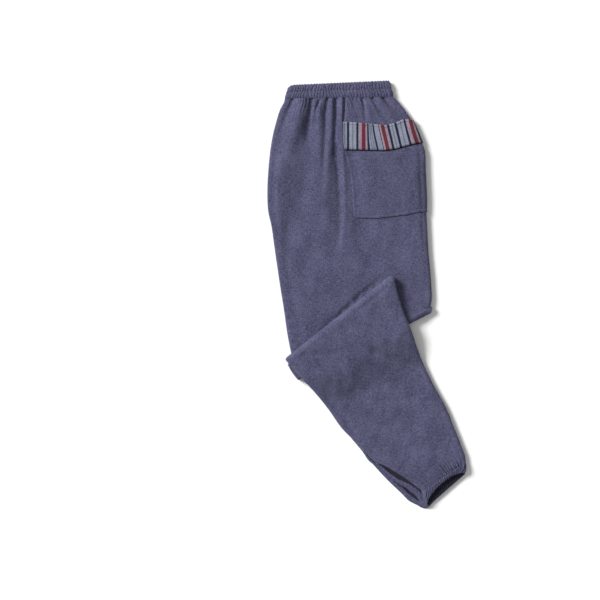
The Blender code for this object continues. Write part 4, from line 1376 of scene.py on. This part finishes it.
# %% Stitch rows
def on_cloth(piece, xs, ys, sunk=0.05):
    """The points of a piece straight below places of the plan, in millimetres."""
    graph = bpy.context.evaluated_depsgraph_get()
    shown = piece.evaluated_get(graph)
    points = []
    for x, y in zip(xs, ys):
        hit, where, _, _ = shown.ray_cast((x * MM, y * MM, 0.2), (0, 0, -1))
        if hit:
            points.append((x, y, where.z / MM - sunk))
    return points


def straight(a, b, step):
    """Places of the plan on a line, one at each step."""
    count = int(np.hypot(b[0] - a[0], b[1] - a[1]) / step)
    return np.linspace(a[0], b[0], count), np.linspace(a[1], b[1], count)


def grid_line(grid, row=None, col=None, trim=(0, -1), sunk=0.05):
    """One row or column of a grid of cloth, cut at both ends."""
    line = grid[row] if row is not None else grid[:, col]
    line = line[trim[0]:trim[1]].copy()
    line[:, 2] -= sunk
    return line


rows = []
for k, share in enumerate((0.48, 0.94)):
    line = np.array(BAND_TOP) + share * (np.array(BAND_FOOT) - np.array(BAND_TOP))
    across = (line[2:] - line[:2]) / np.linalg.norm(line[2:] - line[:2])
    xs, ys = straight(line[:2] + across * 4.0, line[2:] - across * 4.0, 1.5)
    rows.append(stitch_row(f"waist_stitches_{k}", on_cloth(waistband, xs, ys), 2.6, k + 1))
pocket_rows, pocket_cols = pocket_outer.shape[:2]
patch_rows = (
    ("pocket_foot_stitches", grid_line(pocket_outer, row=pocket_rows - 6, trim=(5, pocket_cols))),
    ("pocket_side_stitches", grid_line(pocket_outer, col=5, trim=(0, pocket_rows - 5))),
    ("band_seam_stitches", grid_line(band_outer, row=41, trim=(2, 148))),
    ("band_mouth_stitches", grid_line(band_outer, row=5, trim=(2, 148))),
)
for seed, (name, line) in enumerate(patch_rows, 5):
    rows.append(stitch_row(name, line, seed=seed))
stitches = joined("seam_stitches", rows)
print("stitches:", triangles(stitches), "triangles")

# %% [markdown]
# ## Each piece in its solid's place
#
# The trousers don't move, so every piece rides on the one body. Each hides the solid that it
# stands for, and the cut of each piece is printed: the longest way across and along, and the area
# that it covers.


def sheet_size(grid):
    """Width, length and area of a grid of cloth, in metres."""
    across = np.linalg.norm(np.diff(grid, axis=1), axis=2)
    along = np.linalg.norm(np.diff(grid, axis=0), axis=2)
    area = ((across[:-1] + across[1:]) / 2 * (along[:, :-1] + along[:, 1:]) / 2).sum()
    return across.sum(axis=1).max() * MM, along.sum(axis=0).max() * MM, area * MM * MM


def half_surface(piece):
    """The cloth in a closed piece, which has an outer and an inner side."""
    return sum(p.area for p in piece.data.polygons) / 2


def declare(piece, node, size=None):
    """Attaches a piece to the body, hides its solid and prints its cut."""
    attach(piece, "root")
    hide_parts(node)
    if size is None:
        area = half_surface(piece)
        low, high = (np.array(c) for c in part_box(node))
        wide, long = sorted((high - low)[:2])
        size = (wide, max(long, area / wide), area)
    wide, long, area = size
    area = min(area, wide * long)
    print(piece.name, "cut", round(wide, 3), "x", round(long, 3), "m, area", round(area, 4))


declare(hidden, "hidden_layers")
declare(thigh, "left_leg_thigh", sheet_size(thigh_outer))
declare(waistband, "waistband")
declare(pocket, "hip_pocket", sheet_size(pocket_outer))
declare(pocket_band, "pocket_band", sheet_size(band_outer))
declare(knee, "knee_fold", None)
declare(under_shin, "right_leg_shin", None)
declare(shin, "left_leg_shin", sheet_size(shin_outer))
declare(left_casing, "left_hem_casing", None)
declare(right_casing, "right_hem_casing")
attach(stitches, "root")

# %% [markdown]
# ## Floor, light and camera
#
# The trousers lie on a pale floor. A broad soft light from the upper left models the folds, as in
# the photo, and a large one overhead keeps the shadows open. The camera looks straight down.


# %% Stage
def make_floor():
    """A pale square just under the trousers, which is not part of them."""
    mesh = bpy.data.meshes.new("floor")
    side = 4.0
    mesh.from_pydata([(-side, -side, 0), (side, -side, 0), (side, side, 0), (-side, side, 0)], [],
                     [(0, 1, 2, 3)])
    floor = bpy.data.objects.new("floor", mesh)
    floor.location.z = -0.0005
    bpy.context.scene.collection.objects.link(floor)
    material = bpy.data.materials.new("pale_floor")
    material.use_nodes = True
    tree = material.node_tree
    shader = tree.nodes["Principled BSDF"]
    shader.inputs["Base Color"].default_value = (0.9, 0.9, 0.9, 1.0)
    shader.inputs["Roughness"].default_value = 0.9
    mesh.materials.append(material)
    return floor


def sun_light(name, place, spread, strength):
    """An even light from one direction, softer with a wider spread."""
    light = bpy.data.lights.new(name, "SUN")
    light.angle = math.radians(spread)
    light.energy = strength
    lamp = bpy.data.objects.new(name, light)
    lamp.location = place
    aim = -lamp.location.normalized()
    lamp.rotation_mode = "QUATERNION"
    lamp.rotation_quaternion = aim.to_track_quat("-Z", "Y")
    bpy.context.scene.collection.objects.link(lamp)
    return lamp


make_floor()
sun_light("key_light", (-1.95, 1.1, 1.5), spread=24.0, strength=4.9)
sun_light("sky_light", (0.2, -0.2, 3.0), spread=80.0, strength=0.5)
world = bpy.data.worlds.new("studio")
bpy.context.scene.world = world
world.use_nodes = True
world.node_tree.nodes["Background"].inputs["Color"].default_value = (1.0, 1.0, 1.0, 1.0)
world.node_tree.nodes["Background"].inputs["Strength"].default_value = 0.24
bpy.context.scene.view_settings.view_transform = "Standard"
print("lights and floor set")

# %% Camera
PIXEL = 0.0018               # one pixel of the photo on the table, in metres
FRAME_PIXELS = 600
VIEW_CENTRE = (-0.1197, -0.009)
CAMERA_HIGH = 4.0
SENSOR = 36.0
camera_data = bpy.data.cameras.new("camera")
camera_data.sensor_width = SENSOR
camera_data.lens = SENSOR * CAMERA_HIGH / (PIXEL * FRAME_PIXELS)
camera = bpy.data.objects.new("camera", camera_data)
camera.location = (*VIEW_CENTRE, CAMERA_HIGH)
bpy.context.scene.collection.objects.link(camera)
bpy.context.scene.camera = camera
print("camera", round(camera_data.lens, 1), "mm at", CAMERA_HIGH, "m")

# %% Finish
bpy.context.view_layer.update()
